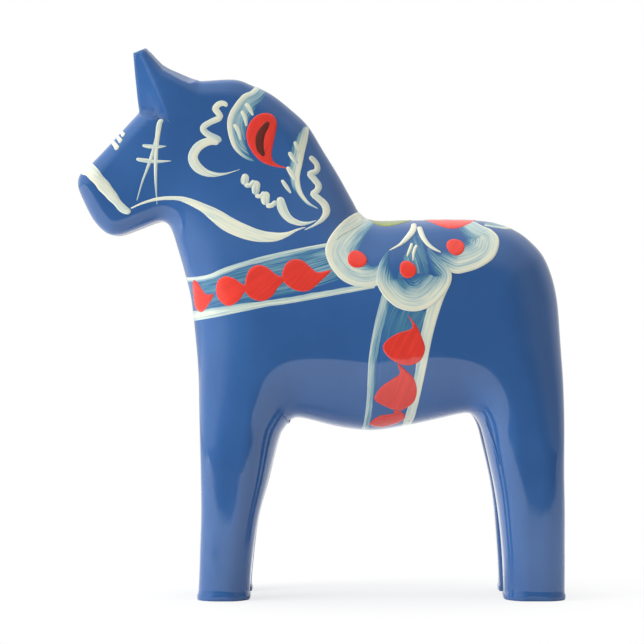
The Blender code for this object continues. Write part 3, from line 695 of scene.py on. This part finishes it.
def petal(control, side=-1, rim=1.2, haze=0.76, layer=0, ends=(0.0, 0.0), reach=0.5):
    """A wide turning stroke: opaque along its outer rim, thinning to nothing on the inside."""
    stroke_number[0] += 1
    grid, along, width = brush_grid(control, 1 - PETAL_SPREAD[::-1], 1.0, side, 0.0, False)
    inward = (PETAL_SPREAD[::-1])[None] * width[:, None]
    rest = width[:, None] - inward
    tips = (along / along[-1])[:, None]
    strength = 1 - ends[0] * (1 - smooth(tips, 0, 0.3)) - ends[1] * smooth(tips, 0.7, 1)
    rim_here = rim * (0.35 + 0.65 * strength)
    thick = RIM_RIDGE * smooth(inward, 0, 0.25) * (1 - smooth(inward, rim_here * 0.5, rim_here * 1.6))
    thick = thick * strength + HAZE_BODY * smooth(inward, 0, 0.3) * smooth(rest, 0.0, 1.2)
    carried = haze + (1.05 - haze) * (1 - smooth(inward, rim_here * 0.6, rim_here * 1.5))
    carried = carried * smooth(rest, 0.0, reach * width[:, None]) * strength
    tip = np.clip(np.minimum(along, along[-1] - along)[:, None] / 0.8, 0, 1)
    return sheet(grid, thick * np.sqrt(tip) - SINK + LAYER * layer * smooth(rest, 0, 1),
                 carried, along, inward)


def wash(control, side, load, ends, soft=0.12):
    """A broad, nearly dry stroke: hardly any thickness, only bristle marks."""
    stroke_number[0] += 1
    spread = np.linspace(0, 1, 13)
    grid, along, width = brush_grid(control, spread, 0.5, side, 0.0, False)
    v = spread[None]
    share = (along / along[-1])[:, None]
    edge = smooth(np.minimum(v, 1 - v), 0, soft) * smooth(np.minimum(share, 1 - share), 0, 0.05)
    carried = load * edge * (ends[0] + (ends[1] - ends[0]) * share)
    return sheet(grid, WASH_BODY * edge - WASH_SINK, carried, along, v * width[:, None])


def inner_points(loop):
    """Points inside an outline: two rings close to it, then an even spread."""
    step = 0.32
    turn = np.roll(loop, -1, axis=0) - np.roll(loop, 1, axis=0)
    turn /= np.linalg.norm(turn, axis=1)[:, None] + 1e-9
    inward = np.stack([-turn[:, 1], turn[:, 0]], axis=1)
    low, high = loop.min(axis=0), loop.max(axis=0)
    gx, gz = np.meshgrid(np.arange(low[0], high[0], step), np.arange(low[1], high[1], step))
    sets = []
    for points, least in ((loop + 0.1 * inward, 0.07), (loop - 0.1 * inward, 0.07),
                          (loop + 0.26 * inward, 0.2), (loop - 0.26 * inward, 0.2),
                          (np.stack([gx.ravel(), gz.ravel()], axis=1), 0.42)):
        sets.append(points[side_depth(points, loop) > least])
    return np.vstack(sets)


def dab(outline, side=-1, height=0.14, grain=0.6, layer=0, top_view=False, load=1.0):
    """Paint pressed down within an outline, seen from the side or from above."""
    stroke_number[0] += 1
    closed = catmull([outline[-1]] + list(outline) + list(outline[:2]), 6)[6:-7]
    seg = np.linalg.norm(np.roll(closed, -1, axis=0) - closed, axis=1)
    loop = closed[seg > 0.02]
    points = np.vstack([loop, inner_points(loop)])
    count = len(loop)
    edges = [(k, (k + 1) % count) for k in range(count)]
    made = delaunay_2d_cdt([Vector(p) for p in points], edges, [], 1, 1e-4)
    flat = np.array(made[0])
    faces = [list(f) for f in made[2]]
    depth = np.maximum(side_depth(flat, loop), 0)
    surface = FORM.on_top(flat) if top_view else FORM.on_side(flat, side)
    normal = FORM.normal(surface)
    body = height * np.sqrt(1 - (1 - np.clip(depth / 0.55, 0, 1))**2)
    body *= 0.9 + 0.1 * np.sin(flat[:, 0] * 1.7 + flat[:, 1] * 0.9)
    turn = np.array([[math.cos(grain), -math.sin(grain)], [math.sin(grain), math.cos(grain)]])
    uv = flat @ turn + 23.0 * stroke_number[0]
    top = surface + normal * (body - SINK + LAYER * layer)[:, None]
    return top, surface - normal * UNDER, faces, uv, np.full(len(flat), load)


def film_arrays(top, under, faces):
    """Close a sheet with its under side and a rim."""
    count = len(top)
    border = {(a, b) for face in faces for a, b in zip(face, face[1:] + face[:1])}
    rim = [[b, a, a + count, b + count] for a, b in border if (b, a) not in border]
    below = [[i + count for i in reversed(face)] for face in faces]
    return np.vstack([top, under]), faces + below + rim


def paint_piece(name, sheets, mat, nodes=()):
    """One visible piece made of one or more closed paint films."""
    points, faces, uvs, loads = [], [], [], []
    base = 0
    for top, under, sheet_faces, uv, load in sheets:
        verts, closed = film_arrays(top, under, sheet_faces)
        points.append(verts)
        faces += [[i + base for i in face] for face in closed]
        uvs.append(np.vstack([uv, uv]))
        loads.append(np.concatenate([load, load]))
        base += len(verts)
    mesh = bpy.data.meshes.new(name)
    mesh.from_pydata((np.vstack(points) * MM).tolist(), [], faces)
    bm = bmesh.new()
    bm.from_mesh(mesh)
    bmesh.ops.recalc_face_normals(bm, faces=bm.faces)
    bm.to_mesh(mesh)
    bm.free()
    corner = np.empty(len(mesh.loops), int)
    mesh.loops.foreach_get("vertex_index", corner)
    mesh.uv_layers.new(name="brush").data.foreach_set("uv", np.vstack(uvs)[corner].ravel())
    attribute = mesh.attributes.new("load", 'FLOAT', 'POINT')
    attribute.data.foreach_set("value", np.concatenate(loads).astype(float))
    mesh.shade_smooth()
    hand_over(add_object(name, mesh), mat, nodes)


def both(make):
    """Build a list of sheets on the left and again on the right."""
    return make(-1) + make(1)


def sided(*names):
    """The left and right CAD node of each name."""
    return [f"{name}_{side}" for name in names for side in ("left", "right")]


# ---- head

NOSEBAND = [
    (-44.9, 90.9, 1.2), (-46.9, 92.2, 2.1), (-49.2, 95, 2.6), (-52.1, 98.5, 2.9), (-54.3, 101, 3.1)]
NOSEBAND_BRIDGE = [(-55.9, -3.0, 102.0, 3.2), (-56.2, 0, 102.1, 3.2), (-55.9, 3.0, 102.0, 3.2)]
CHEEK_STRAPS = [
    [(-37.3, 112.9, 0.8), (-38.1, 112, 1.3), (-38.5, 109.8, 1.3), (-38.9, 106, 1.1), (-39, 101.5, 0.9),
     (-38.9, 97.3, 0.6), (-38.6, 92.4, 0.15)],
    [(-38.8, 108.6, 0.71), (-39.7, 105, 0.82), (-40.6, 102.2, 0.71), (-42.1, 98.2, 0.47),
     (-43.4, 93.7, 0.24)],
    [(-42.1, 106.7, 0.6), (-40.6, 106.4, 0.95), (-38.4, 106.3, 0.8), (-36.4, 106.5, 0.2)],
    [(-43.6, 103.5, 0.6), (-42.4, 103.2, 0.95), (-39, 102.8, 0.9), (-35, 103, 0.12)]]
REIN = [
    (-44.9, 91.8, 0.35), (-41.8, 93.1, 0.58), (-38.1, 94, 0.82), (-34, 94.1, 1.05), (-31.3, 93.4, 1.5),
    (-27.7, 91.7, 2.15), (-25, 89.9, 3.2), (-21.9, 87.7, 3.85), (-18.3, 86, 3.7), (-14.6, 84.9, 3.1),
    (-10.7, 84.7, 2.3), (-7.8, 85.4, 1.17), (-5.5, 86.5, 0.58), (-3.4, 87.2, 0.23)]
NOSE_DABS = [
    [(-50.3, -3.4, 108.1, 0.5), (-49.5, 107.7, 0.8), (-48.8, 106.9, 1.1), (-48.1, 105.8, 1.5)],
    [(-49.3, -3.4, 109.5, 0.5), (-48.5, 109.1, 0.8), (-47.9, 108.4, 1), (-47.3, 107.5, 1.4)],
    [(-48.3, -3.4, 110.6, 0.5), (-47.5, 110.3, 0.8), (-47.1, 109.7, 0.9), (-46.7, 109, 1.25)]]

# Runs and creases where the dipped enamel gathered in the knife cuts: (x, z, width).
ENAMEL_RUNS = [
    [(-45.4, 111, 0.2), (-42.6, 111.3, 0.35), (-39.9, 111.3, 0.25)],
    [(-43, 114.4, 0.4), (-40.6, 113.6, 0.7), (-38.2, 112.8, 0.5)],
    [(-37.2, 113, 0.25), (-36, 112.6, 0.35), (-35.1, 111.9, 0.2)],
    [(-9.2, 44.2, 0.3), (-8.3, 42.4, 0.7), (-7.6, 41.2, 0.9), (-7, 41.9, 0.5)],
    [(38.4, 43.4, 0.3), (39, 41, 0.6), (40.6, 36.4, 0.7), (41.8, 31.6, 0.3)]]


def paint_lines(paths, side, **how):
    """One line for each path, with neighbours on different layers."""
    shift = hand_shift(side)
    return [line(lift(moved(p, shift), side), side, layer=k % 3, **how) for k, p in enumerate(paths)]


def lines_on_both(paths, **how):
    return both(lambda s: paint_lines(paths, s, **how))


def paint_head():
    band = over_the_middle(NOSEBAND, NOSEBAND_BRIDGE)
    paint_piece("noseband", [line(band, height=0.24, rough_edge=0.45, layer=1, fade=(0.9, 0.9))],
                CREAM, ["noseband"])
    paint_piece("enamel_runs", lines_on_both(ENAMEL_RUNS, height=0.42), ENAMEL)
    paint_piece("cheek_straps", lines_on_both(CHEEK_STRAPS, fade=(0.95, 0.7)), CREAM,
                sided("cheek_strap"))
    paint_piece("reins", lines_on_both([REIN], height=0.13), CREAM, sided("rein"))
    paint_piece("nose_dabs", lines_on_both(NOSE_DABS, height=0.2), CREAM,
                sided("nose_dab_lower", "nose_dab_middle", "nose_dab_upper"))


# ---- mane

SCROLL_FRONT = [
    [(-22, 115.8, 0.7), (-22.6, 116.6, 1.29), (-23.9, 116.6, 1.52), (-25, 115.4, 1.52),
     (-24.4, 114.4, 1.52), (-23.9, 113.3, 1.52), (-25.9, 112.3, 1.52), (-27.6, 111.2, 1.64),
     (-27.7, 110.1, 1.64), (-26.3, 108.9, 1.64), (-24.3, 107.8, 1.87), (-23.9, 107.2, 1.41)],
    [(-23.9, 107.4, 1.41), (-26.4, 107.7, 1.87), (-29, 106.4, 2.23), (-30.3, 104, 2.34),
     (-29.5, 101.7, 2.34), (-27.3, 100.1, 1.75), (-24.8, 99.6, 1.05), (-22.6, 99.8, 0.5),
     (-21, 100.2, 0.25), (-19, 100.9, 0.1)]]
MANE_FRONT_EDGE = [
    (-15.5, -1.5, 120.6, 3), (-16.3, 119.9, 4.2), (-18.4, 118.7, 5.2), (-20.4, 116.3, 5.6),
    (-21.7, 114, 5.8), (-22.1, 111.6, 5.6), (-21.7, 108.8, 5), (-20.7, 106.1, 4.2), (-19.1, 104.3, 3.2),
    (-17.3, 103.1, 2), (-15.4, 102.4, 0.5)]
MANE_REAR_EDGE = [
    (-2.8, 111, 1), (-2.8, 109.6, 2.6), (-3.1, 107.6, 3.6), (-3.7, 104.9, 4), (-4.3, 101.8, 3.8),
    (-4.8, 99.2, 3.1), (-4.6, 96.8, 2.2), (-3.8, 94.8, 1.4), (-2.4, 93, 0.9), (-0.4, 91.7, 0.4)]
FEATHERS = [
    [(-17.8, 116.6, 1.05), (-16.9, 115.3, 1.2), (-15.9, 113.6, 0.5)],
    [(-18.7, 114.8, 0.8), (-17.9, 113.2, 1.1), (-17.5, 111.1, 0.5)],
    [(-20.4, 111.6, 0.95), (-19.5, 110.1, 1.1), (-18.8, 107.8, 0.5)],
    [(-6.2, 107.6, 0.8), (-5.5, 105.9, 1.2), (-4.7, 104.5, 0.8)],
    [(-7.5, 105, 0.8), (-6.5, 103.5, 1.2), (-5.2, 102.1, 0.8)],
    [(-7.9, 101.5, 0.85), (-7, 100, 1.2), (-5.9, 98.2, 0.8)],
    [(-9.2, 98.4, 0.8), (-8.2, 96.9, 1.05), (-7, 95.2, 0.5)]]
MANE_DROP = [
    (-12.5, 114.3), (-10.9, 113.5), (-10.3, 111.6), (-10.9, 108.2), (-11.5, 105), (-11.3, 103.2),
    (-10.3, 102.2), (-7.8, 101.2), (-10.4, 101.5), (-12.9, 102.2), (-14.7, 103.4), (-16.3, 105.4),
    (-17.3, 107.6), (-17.4, 110), (-16.5, 112.2), (-14.7, 113.9)]
MANE_DROP_HEART = [
    (-12.3, 112.2, 0.8), (-13.2, 111, 1.5), (-14.2, 109.3, 1.9), (-14.6, 107.5, 2), (-14.3, 105.6, 1.7),
    (-13.4, 104, 0.8)]
SCROLL_LOWER = [
    [(-17.6, 99.9, 1.7), (-18, 98.4, 2.1), (-17.8, 97.2, 1.7)],
    [(-17.9, 97.3, 1.2), (-16.6, 97, 1.2), (-15.4, 98.2, 1.2)],
    [(-15, 98.2, 1.7), (-15.4, 96.6, 1.95), (-15.3, 94.9, 1.7)],
    [(-15.4, 94.8, 1.2), (-14.1, 94.4, 1.1), (-13, 95.5, 1.2)],
    [(-12.6, 95.6, 1.7), (-13.2, 93.9, 2.25), (-12.6, 92.5, 1.8)],
    [(-12.8, 92.3, 1.2), (-11.5, 92.2, 1.2), (-10.3, 93.3, 1)],
    [(-9.5, 94.4, 1.6), (-9.5, 92.7, 2.3), (-8.7, 90.6, 2.3), (-7.2, 88.9, 1.75), (-4.9, 88, 1.2),
     (-2.9, 88.1, 0.7), (-0.9, 88.8, 0.23)]]
SCROLL_REAR = [
    [(-2.7, 103.9, 1.2), (-1.8, 103.2, 1.6), (-0.9, 101.9, 1.6), (-1.1, 100.6, 1.5), (-2.6, 99.9, 1.55),
     (-1.5, 98.4, 1.7), (-0.6, 97.1, 1.7), (-1, 95.9, 1.6), (-1.9, 95.1, 1.55), (-0.6, 93.9, 1.7),
     (0.8, 92.5, 1.95), (1.2, 90.8, 1.8), (0.3, 89.1, 1.2), (-1.5, 87.7, 0.6), (-3.9, 86.5, 0.23)]]


def mane_petals(side):
    front = petal(lift(MANE_FRONT_EDGE, side), side, rim=1.15, haze=0.42, ends=(0.15, 0.75))
    # The rear edge is drawn upward, so that its haze also lies on the left of travel.
    rear = petal(lift(MANE_REAR_EDGE[::-1], side), side, rim=1.7, haze=0.5, ends=(0.4, 0.25))
    return [front, rear] + paint_lines(FEATHERS, side, height=0.12, fade=(1.0, 0.8))


def paint_mane():
    paint_piece("mane_petals", both(mane_petals), CREAM, sided("mane_petal_front", "mane_petal_rear"))
    paint_piece("mane_drops", both(lambda s: [dab(MANE_DROP, s, 0.14, 1.2, 1)]), RED,
                sided("mane_drop"))
    paint_piece("mane_drop_hearts",
                both(lambda s: [line(lift(MANE_DROP_HEART, s), s, 0.08, base=0.15)]), DARK)
    for name, paths in (("front", SCROLL_FRONT), ("lower", SCROLL_LOWER), ("rear", SCROLL_REAR)):
        paint_piece(f"mane_scrolls_{name}", lines_on_both(paths, fade=(1.0, 0.8)), CREAM,
                    sided(f"mane_scroll_{name}"))


# ---- saddle

PETAL_FRONT = [
    (9.8, -2, 91.2, 4.5), (8.8, 91, 5.5), (6.9, 89.9, 6.4), (5, 88.4, 7.2), (2.9, 86, 7.9),
    (1.5, 83.6, 8.4), (1.1, 81.1, 8.6), (2.3, 77.8, 8.4), (4.8, 74.9, 7.8), (8.1, 73.3, 7),
    (11, 73, 6.4), (13.6, 73.6, 5.6), (15.8, 75, 4.6)]
PETAL_FRONT_ROOT = [
    (9.4, 89.8, 2.2), (7.9, 88.9, 3), (6, 87.5, 2.7), (4.6, 85.9, 1.6), (3.6, 84.2, 0.5)]
PETAL_MIDDLE = [
    (16, 81.8, 0.8), (14.6, 80.2, 2), (13.4, 77.7, 3.6), (13.1, 74.2, 5.6), (14.5, 71.3, 7.2),
    (17.2, 68.7, 8.4), (20.1, 67.6, 8.8), (23, 67.6, 9), (25.7, 68.7, 9), (27.7, 70.4, 8.6),
    (29.4, 72.5, 7.6), (30.5, 74.9, 5.9), (30.2, 77.1, 4.6), (28.4, 79.2, 3.8), (26.5, 81.1, 2.2),
    (25.3, 82.4, 0.8)]
PETAL_MIDDLE_WASH = [
    (22.7, 85.6, 2.6), (22.3, 82.4, 6), (21.9, 79, 10), (21.6, 75.4, 12), (21.6, 72.6, 12)]
PETAL_REAR = [
    (24.6, 80.6, 3), (26.6, 78.5, 4.6), (30.9, 76.4, 6.2), (33.9, 76.6, 7.4), (37.5, 77.9, 8),
    (40.4, 80, 8.4), (41.7, 82.9, 8.4), (41.6, 85.1, 8.2), (40, 86.8, 7.6), (38.2, 87.6, 7),
    (36, -7.5, 88.9, 5)]
PETAL_TAIL = [(38.6, -10.4, 88.2, 3.0), (41.6, -10.0, 87.6, 4.5), (44.2, -8.4, 87.0, 6.0)]
PETAL_TAIL_MIDDLE = [(46.0, -4.0, 86.9, 7.0), (46.4, 0, 86.9, 7.4), (46.0, 4.0, 86.9, 7.0)]
DOTS = [(8.5, 79.6, 2.25, 2.0), (20.3, 77.2, 1.95, 2.0), (31.5, 82.5, 2.1, 1.9)]
SPRAYS = [
    [(21.9, 88.2, 1.16), (21.6, 86.7, 1.51), (20.4, 85, 1.39), (18.6, 83.2, 0.81), (16, 81.7, 0.23)],
    [(23.1, 87.4, 1.16), (23.4, 86, 1.28), (24.2, 84.2, 1.16), (25.7, 82.5, 0.93), (28, 81.2, 0.35)],
    [(21.3, 83.4, 0.58), (20.8, 82, 0.7), (20.1, 80.3, 0.35)],
    [(22.4, 83, 0.58), (21.7, 81.4, 0.7), (21.5, 79.3, 0.23)]]
LEAF = [
    (11, 0), (11.2, -5), (12.1, -8), (13.6, -9.8), (15.8, -10.4), (18.3, -9.8), (20.7, -8), (21.8, -5),
    (22, 0)]
TOP_PETAL = [
    (24.2, 0), (24.5, -5), (25.8, -8.6), (28, -11), (30.6, -12), (33.4, -11.2), (35.8, -8.6),
    (36.9, -5), (37.2, 0)]


def ellipse(x, z, rx, rz, side):
    """A brush-end dot, not quite round."""
    turn = np.linspace(0, 2 * math.pi, 12, endpoint=False)
    uneven = 1 + 0.05 * np.sin(2 * turn + 3 * side) + 0.04 * np.sin(3 * turn + x)
    return [(x + rx * u * math.cos(t), z + rz * u * math.sin(t)) for t, u in zip(turn, uneven)]


def over_the_top(half):
    """A whole outline seen from above, from its left half."""
    return half + [(x, -y) for x, y in half[-2:0:-1]]


def saddle_petals(edge, **how):
    return both(lambda s: [petal(lift(edge, s), s, **how)])


def paint_saddle_petals():
    """Front, rear, then the middle petal, whose rim lies over the other two."""
    sheets = saddle_petals(PETAL_FRONT, layer=1, ends=(0.0, 0.1))
    sheets += lines_on_both([PETAL_FRONT_ROOT], height=0.06, base=0.07, fade=(0.95, 0.75))
    paint_piece("saddle_petals_front", sheets, CREAM, sided("saddle_petal_front"))
    sheets = saddle_petals(PETAL_REAR, layer=2, ends=(1.0, 0.3))
    sheets.append(petal(over_the_middle(PETAL_TAIL, PETAL_TAIL_MIDDLE), rim=0.9, haze=0.5,
                        ends=(0.3, 0.3)))
    paint_piece("saddle_petals_rear", sheets, CREAM, sided("saddle_petal_rear"))
    sheets = saddle_petals(PETAL_MIDDLE, haze=0.86, layer=5, ends=(0.9, 0.8), reach=0.85)
    sheets += both(lambda s: [wash(lift(PETAL_MIDDLE_WASH, s), s, 0.3, (0.5, 1.0), soft=0.45)])
    paint_piece("saddle_petals_middle", sheets, CREAM, sided("saddle_petal_middle"))


def paint_saddle():
    paint_saddle_petals()
    dots = both(lambda s: [dab(ellipse(*d, s), s, 0.16, 0.9, 6, load=1.25) for d in DOTS])
    paint_piece("saddle_dots", dots, RED,
                sided("saddle_dot_front", "saddle_dot_middle", "saddle_dot_rear"))
    paint_piece("saddle_sprays", lines_on_both(SPRAYS, height=0.18, base=0.04), CREAM,
                sided("saddle_spray"))
    for name, half, grain, mat in (("spine_leaf", LEAF, 1.5, GREEN), ("spine_petal", TOP_PETAL, 1.4, RED)):
        paint_piece(name, [dab(over_the_top(half), top_view=True, grain=grain)], mat, [name])


# ---- breast band and girth

BAND_TOP = [
    (1.6, 83.5, 1.2), (-6.6, 82, 1.4), (-14.4, 80.2, 1.45), (-22.3, 77.8, 1.5), (-26.5, 76.1, 1.5),
    (-31, 75.6, 1.3)]
BAND_TOP_FRONT = [(-33.0, -4.0, 75.7, 1.3), (-33.2, 0, 75.8, 1.3), (-33.0, 4.0, 75.7, 1.3)]
BAND_LOW = [
    (12.6, 72.8, 0.8), (9.3, 72.2, 1.3), (4.2, 71.3, 1.6), (-1.6, 70.2, 1.7), (-8.6, 69, 1.6),
    (-12.4, 68.5, 1.6), (-17.6, 67.4, 2.1), (-24.5, 66, 2.5), (-28.9, 65.3, 2.5)]
BAND_LOW_FRONT = [(-31.0, -4.5, 65.1, 2.4), (-31.2, 0, 65.0, 2.4), (-31.0, 4.5, 65.1, 2.4)]
BAND_WASH = [
    (4.4, 78.8, 8.5), (-0.6, 77.7, 9.5), (-6, 76.4, 10), (-14, 74.6, 9.5), (-23, 72, 8.5),
    (-28.5, 70.6, 8.5)]
BAND_DAB_LOADS = (0.5, 1.0, 0.85, 0.8)
BAND_DABS = [
    [(-30.1, 74.4), (-29, 74.5), (-27.8, 72.7), (-26.6, 71.5), (-25, 71.5), (-26.1, 69.1),
     (-27.9, 67.3), (-29.7, 68.8)],
    [(-24.4, 71.9), (-24, 74.6), (-22.2, 75.7), (-20, 75.1), (-18.3, 73.9), (-16.9, 73.1),
     (-17.9, 71.6), (-19, 70), (-21.3, 68.7), (-23.4, 69.8)],
    [(-17.7, 72.7), (-16.9, 76.8), (-14.8, 78.3), (-12.5, 77.8), (-10.5, 76.2), (-8.6, 75.2),
     (-8.9, 74), (-9.9, 73), (-11.2, 71.1), (-13.4, 69.9), (-16.1, 70.5)],
    [(-9, 75), (-8.4, 78.1), (-6.6, 79.6), (-4.3, 79.4), (-2.3, 77.8), (-0.6, 76.6), (2.5, 77.1),
     (0.4, 74.8), (-2.3, 72.5), (-4.6, 72.1), (-6.9, 72.9)]]
GIRTH_FRONT = [
    (14.6, 73, 2.5), (12.4, 64.4, 2.4), (11.1, 56.4, 2.1), (10.7, 47.3, 1.8), (10.1, 41.6, 1.7)]
GIRTH_REAR = [
    (30.4, 74, 3.5), (28.4, 69.5, 3.4), (26.2, 62.2, 3), (24.3, 52.8, 2.6), (23, 46.2, 2.4),
    (22.2, 42.6, 2.5)]
GIRTH_FRONT_UNDER = [(9.6, -6.0, 39.0, 1.7), (9.6, 0, 38.8, 1.7), (9.6, 6.0, 39.0, 1.7)]
GIRTH_REAR_UNDER = [(21.6, -6.0, 40.2, 2.3), (21.6, 0, 40.1, 2.3), (21.6, 6.0, 40.2, 2.3)]
GIRTH_WASH = [(21.5, 69.0, 12.0), (19.5, 63.0, 11.0), (18.4, 56.0, 10.0), (17.4, 50.0, 9.0)]
GIRTH_DROPS = [
    [(20.2, 66.7), (21.3, 64.4), (20.8, 63.3), (17.9, 62.4), (15.3, 60.7), (14.5, 58.8), (16, 56.6),
     (18.9, 55.1), (21.5, 55.1), (23.5, 56.4), (24.3, 58.8), (23.7, 61.1), (22.6, 63.6), (21.3, 65.5)],
    [(17.9, 55.4), (18.4, 53.1), (17.1, 52), (14.2, 49.9), (12.6, 47.1), (14.6, 45.5), (17.9, 44.2),
     (20, 44.8), (21.9, 46.4), (22.5, 49.1), (21.7, 51.9), (19.7, 53.9)],
    [(17.1, 44.2), (17.1, 43.5), (13.9, 43), (11.7, 41.3), (12.1, 40.5), (14.6, 40.1), (17.9, 41),
     (19.7, 42.1), (19.7, 43.3), (18.6, 44.1)]]


def paint_bands():
    strips = [strip(over_the_middle(BAND_TOP, BAND_TOP_FRONT), 1.0, (0.45, 0.7, 0.72)),
              strip(over_the_middle(BAND_LOW, BAND_LOW_FRONT), 0.0, (0.5, 0.78, 0.8, 0.66, 0.4))]
    strips += both(lambda s: [wash(lift(BAND_WASH, s), s, 0.25, (1.0, 0.45))])
    paint_piece("breast_band", strips, CREAM, ["breast_band"])
    dabs = both(lambda s: [dab(d, s, 0.14, 0.5 + 0.1 * k, 1, load=BAND_DAB_LOADS[k])
                           for k, d in enumerate(BAND_DABS)])
    paint_piece("breast_dabs", dabs, RED, ["breast_dabs"])
    strips = [strip(over_the_middle(GIRTH_FRONT, GIRTH_FRONT_UNDER), 1.0, (0.15, 0.4, 0.55, 0.62)),
              strip(over_the_middle(GIRTH_REAR, GIRTH_REAR_UNDER), 0.0, (1.0, 0.95, 0.8, 0.7))]
    strips += both(lambda s: [wash(lift(GIRTH_WASH, s), s, 0.14, (1.0, 0.0))])
    paint_piece("girth_band", strips, CREAM, ["girth_band"])
    drops = both(lambda s: [dab(d, s, 0.14, 1.1 + 0.1 * k, 1, load=0.8)
                            for k, d in enumerate(GIRTH_DROPS)])
    paint_piece("girth_drops", drops, RED, sided("girth_drops"))


# ---- stage

SHEET_END_Y = -0.25
SHEET_WHITE, SHEET_DARK = (0.9, 0.9, 0.9, 1), (0.05, 0.05, 0.06, 1)


def build_stage():
    """A pale table top. In reflections it is a white sheet that ends a little in front."""
    floor = add_object("floor", bpy.data.meshes.new("floor"))
    bm = bmesh.new()
    bmesh.ops.create_grid(bm, x_segments=1, y_segments=1, size=3.0)
    bm.to_mesh(floor.data)
    bm.free()
    n = Nodes("floor_paper")
    seen = n.add('ShaderNodeLightPath').outputs["Is Camera Ray"]
    place = n.add('ShaderNodeSeparateXYZ', {"Vector": n.add('ShaderNodeTexCoord').outputs["Object"]})
    near = n.ramp(place.outputs["Y"], SHEET_END_Y - 0.03, SHEET_END_Y + 0.04)
    white = n.math('MAXIMUM', near, seen)
    n.put(n.bsdf.inputs["Base Color"], n.mix(white, SHEET_DARK, SHEET_WHITE))
    n.bsdf.inputs["Roughness"].default_value = 0.8
    n.bsdf.inputs["Specular IOR Level"].default_value = 0.1
    centre = n.add('ShaderNodeTexCoord').outputs["Object"]
    away = n.add('ShaderNodeVectorMath', {"Vector": centre}, operation='LENGTH').outputs["Value"]
    far = n.math('MULTIPLY', seen, n.ramp(away, 0.02, 0.12, 0.72, 1.0))
    glow = n.add('ShaderNodeEmission', {"Color": (1, 1, 1, 1)})
    blend = n.add('ShaderNodeMixShader', {0: far, 1: n.bsdf.outputs[0], 2: glow.outputs[0]})
    n.put(n.tree.nodes["Material Output"].inputs["Surface"], blend.outputs[0])
    floor.data.materials.append(n.mat)


def area_light(name, place, aim, size, power):
    """A soft light that isn't mirrored in the gloss."""
    light = bpy.data.lights.new(name, 'AREA')
    light.shape = 'RECTANGLE'
    light.size, light.size_y = size
    light.energy = power
    obj = add_object(name, light)
    obj.location = place
    obj.rotation_euler = (Vector(aim) - Vector(place)).to_track_quat('-Z', 'Y').to_euler()
    obj.visible_glossy = False


def build_world():
    """White studio: bright behind and left, softer right, dark around the camera."""
    world = bpy.data.worlds.new("studio")
    bpy.context.scene.world = world
    world.use_nodes = True
    n = Nodes("studio", world.node_tree)
    look = n.add('ShaderNodeSeparateXYZ', {"Vector": n.add('ShaderNodeTexCoord').outputs["Generated"]})
    dx, dy, dz = look.outputs
    front = n.ramp(dy, -0.5, -0.93)
    side = n.ramp(dx, 0.5, -0.5, 0.38, 0.75)
    level = n.math('ADD', n.math('MULTIPLY', side, n.math('SUBTRACT', 1.0, front)),
                   n.math('MULTIPLY', front, 0.07))
    level = n.math('ADD', level, n.math('MULTIPLY', n.ramp(dy, 0.0, 0.5), 0.25))
    path = n.add('ShaderNodeLightPath').outputs
    overhead = n.math('MULTIPLY', n.ramp(dz, 0.4, 0.8, 0.0, 0.3), path["Is Glossy Ray"])
    level = n.math('ADD', level, overhead)
    seen = path["Is Camera Ray"]
    level = n.math('ADD', n.math('MULTIPLY', level, n.math('SUBTRACT', 1.0, seen)), seen)
    back = world.node_tree.nodes["Background"]
    back.inputs["Color"].default_value = (1, 1, 1, 1)
    n.put(back.inputs["Strength"], level)


def build_lights():
    build_world()
    area_light("key_left", (-0.75, -0.35, 0.35), (0, 0, 0.06), (0.6, 0.6), 6.0)
    area_light("top", (0.0, 0.1, 0.9), (0, 0, 0.05), (0.9, 0.9), 5.0)


# The camera: level with the middle of the body, square to the left flank.
CAMERA_DISTANCE = 0.66
CAMERA_X = 0.00033
CAMERA_Z = 0.065
FRAME_WIDTH = 0.15166
SENSOR = 36.0
FLANK_Y = -0.010


def build_camera():
    cam = bpy.data.cameras.new("camera")
    cam.sensor_width = SENSOR
    cam.lens = SENSOR * (CAMERA_DISTANCE + FLANK_Y) / FRAME_WIDTH
    cam.clip_start = 0.01
    obj = add_object("camera", cam)
    obj.location = (CAMERA_X, -CAMERA_DISTANCE, CAMERA_Z)
    obj.rotation_euler = (math.pi / 2, 0, 0)
    bpy.context.scene.camera = obj


def main():
    build_coat()
    build_wood()
    paint_head()
    paint_mane()
    paint_saddle()
    paint_bands()
    build_stage()
    build_lights()
    build_camera()
    bpy.context.scene.view_settings.view_transform = 'Standard'


main()
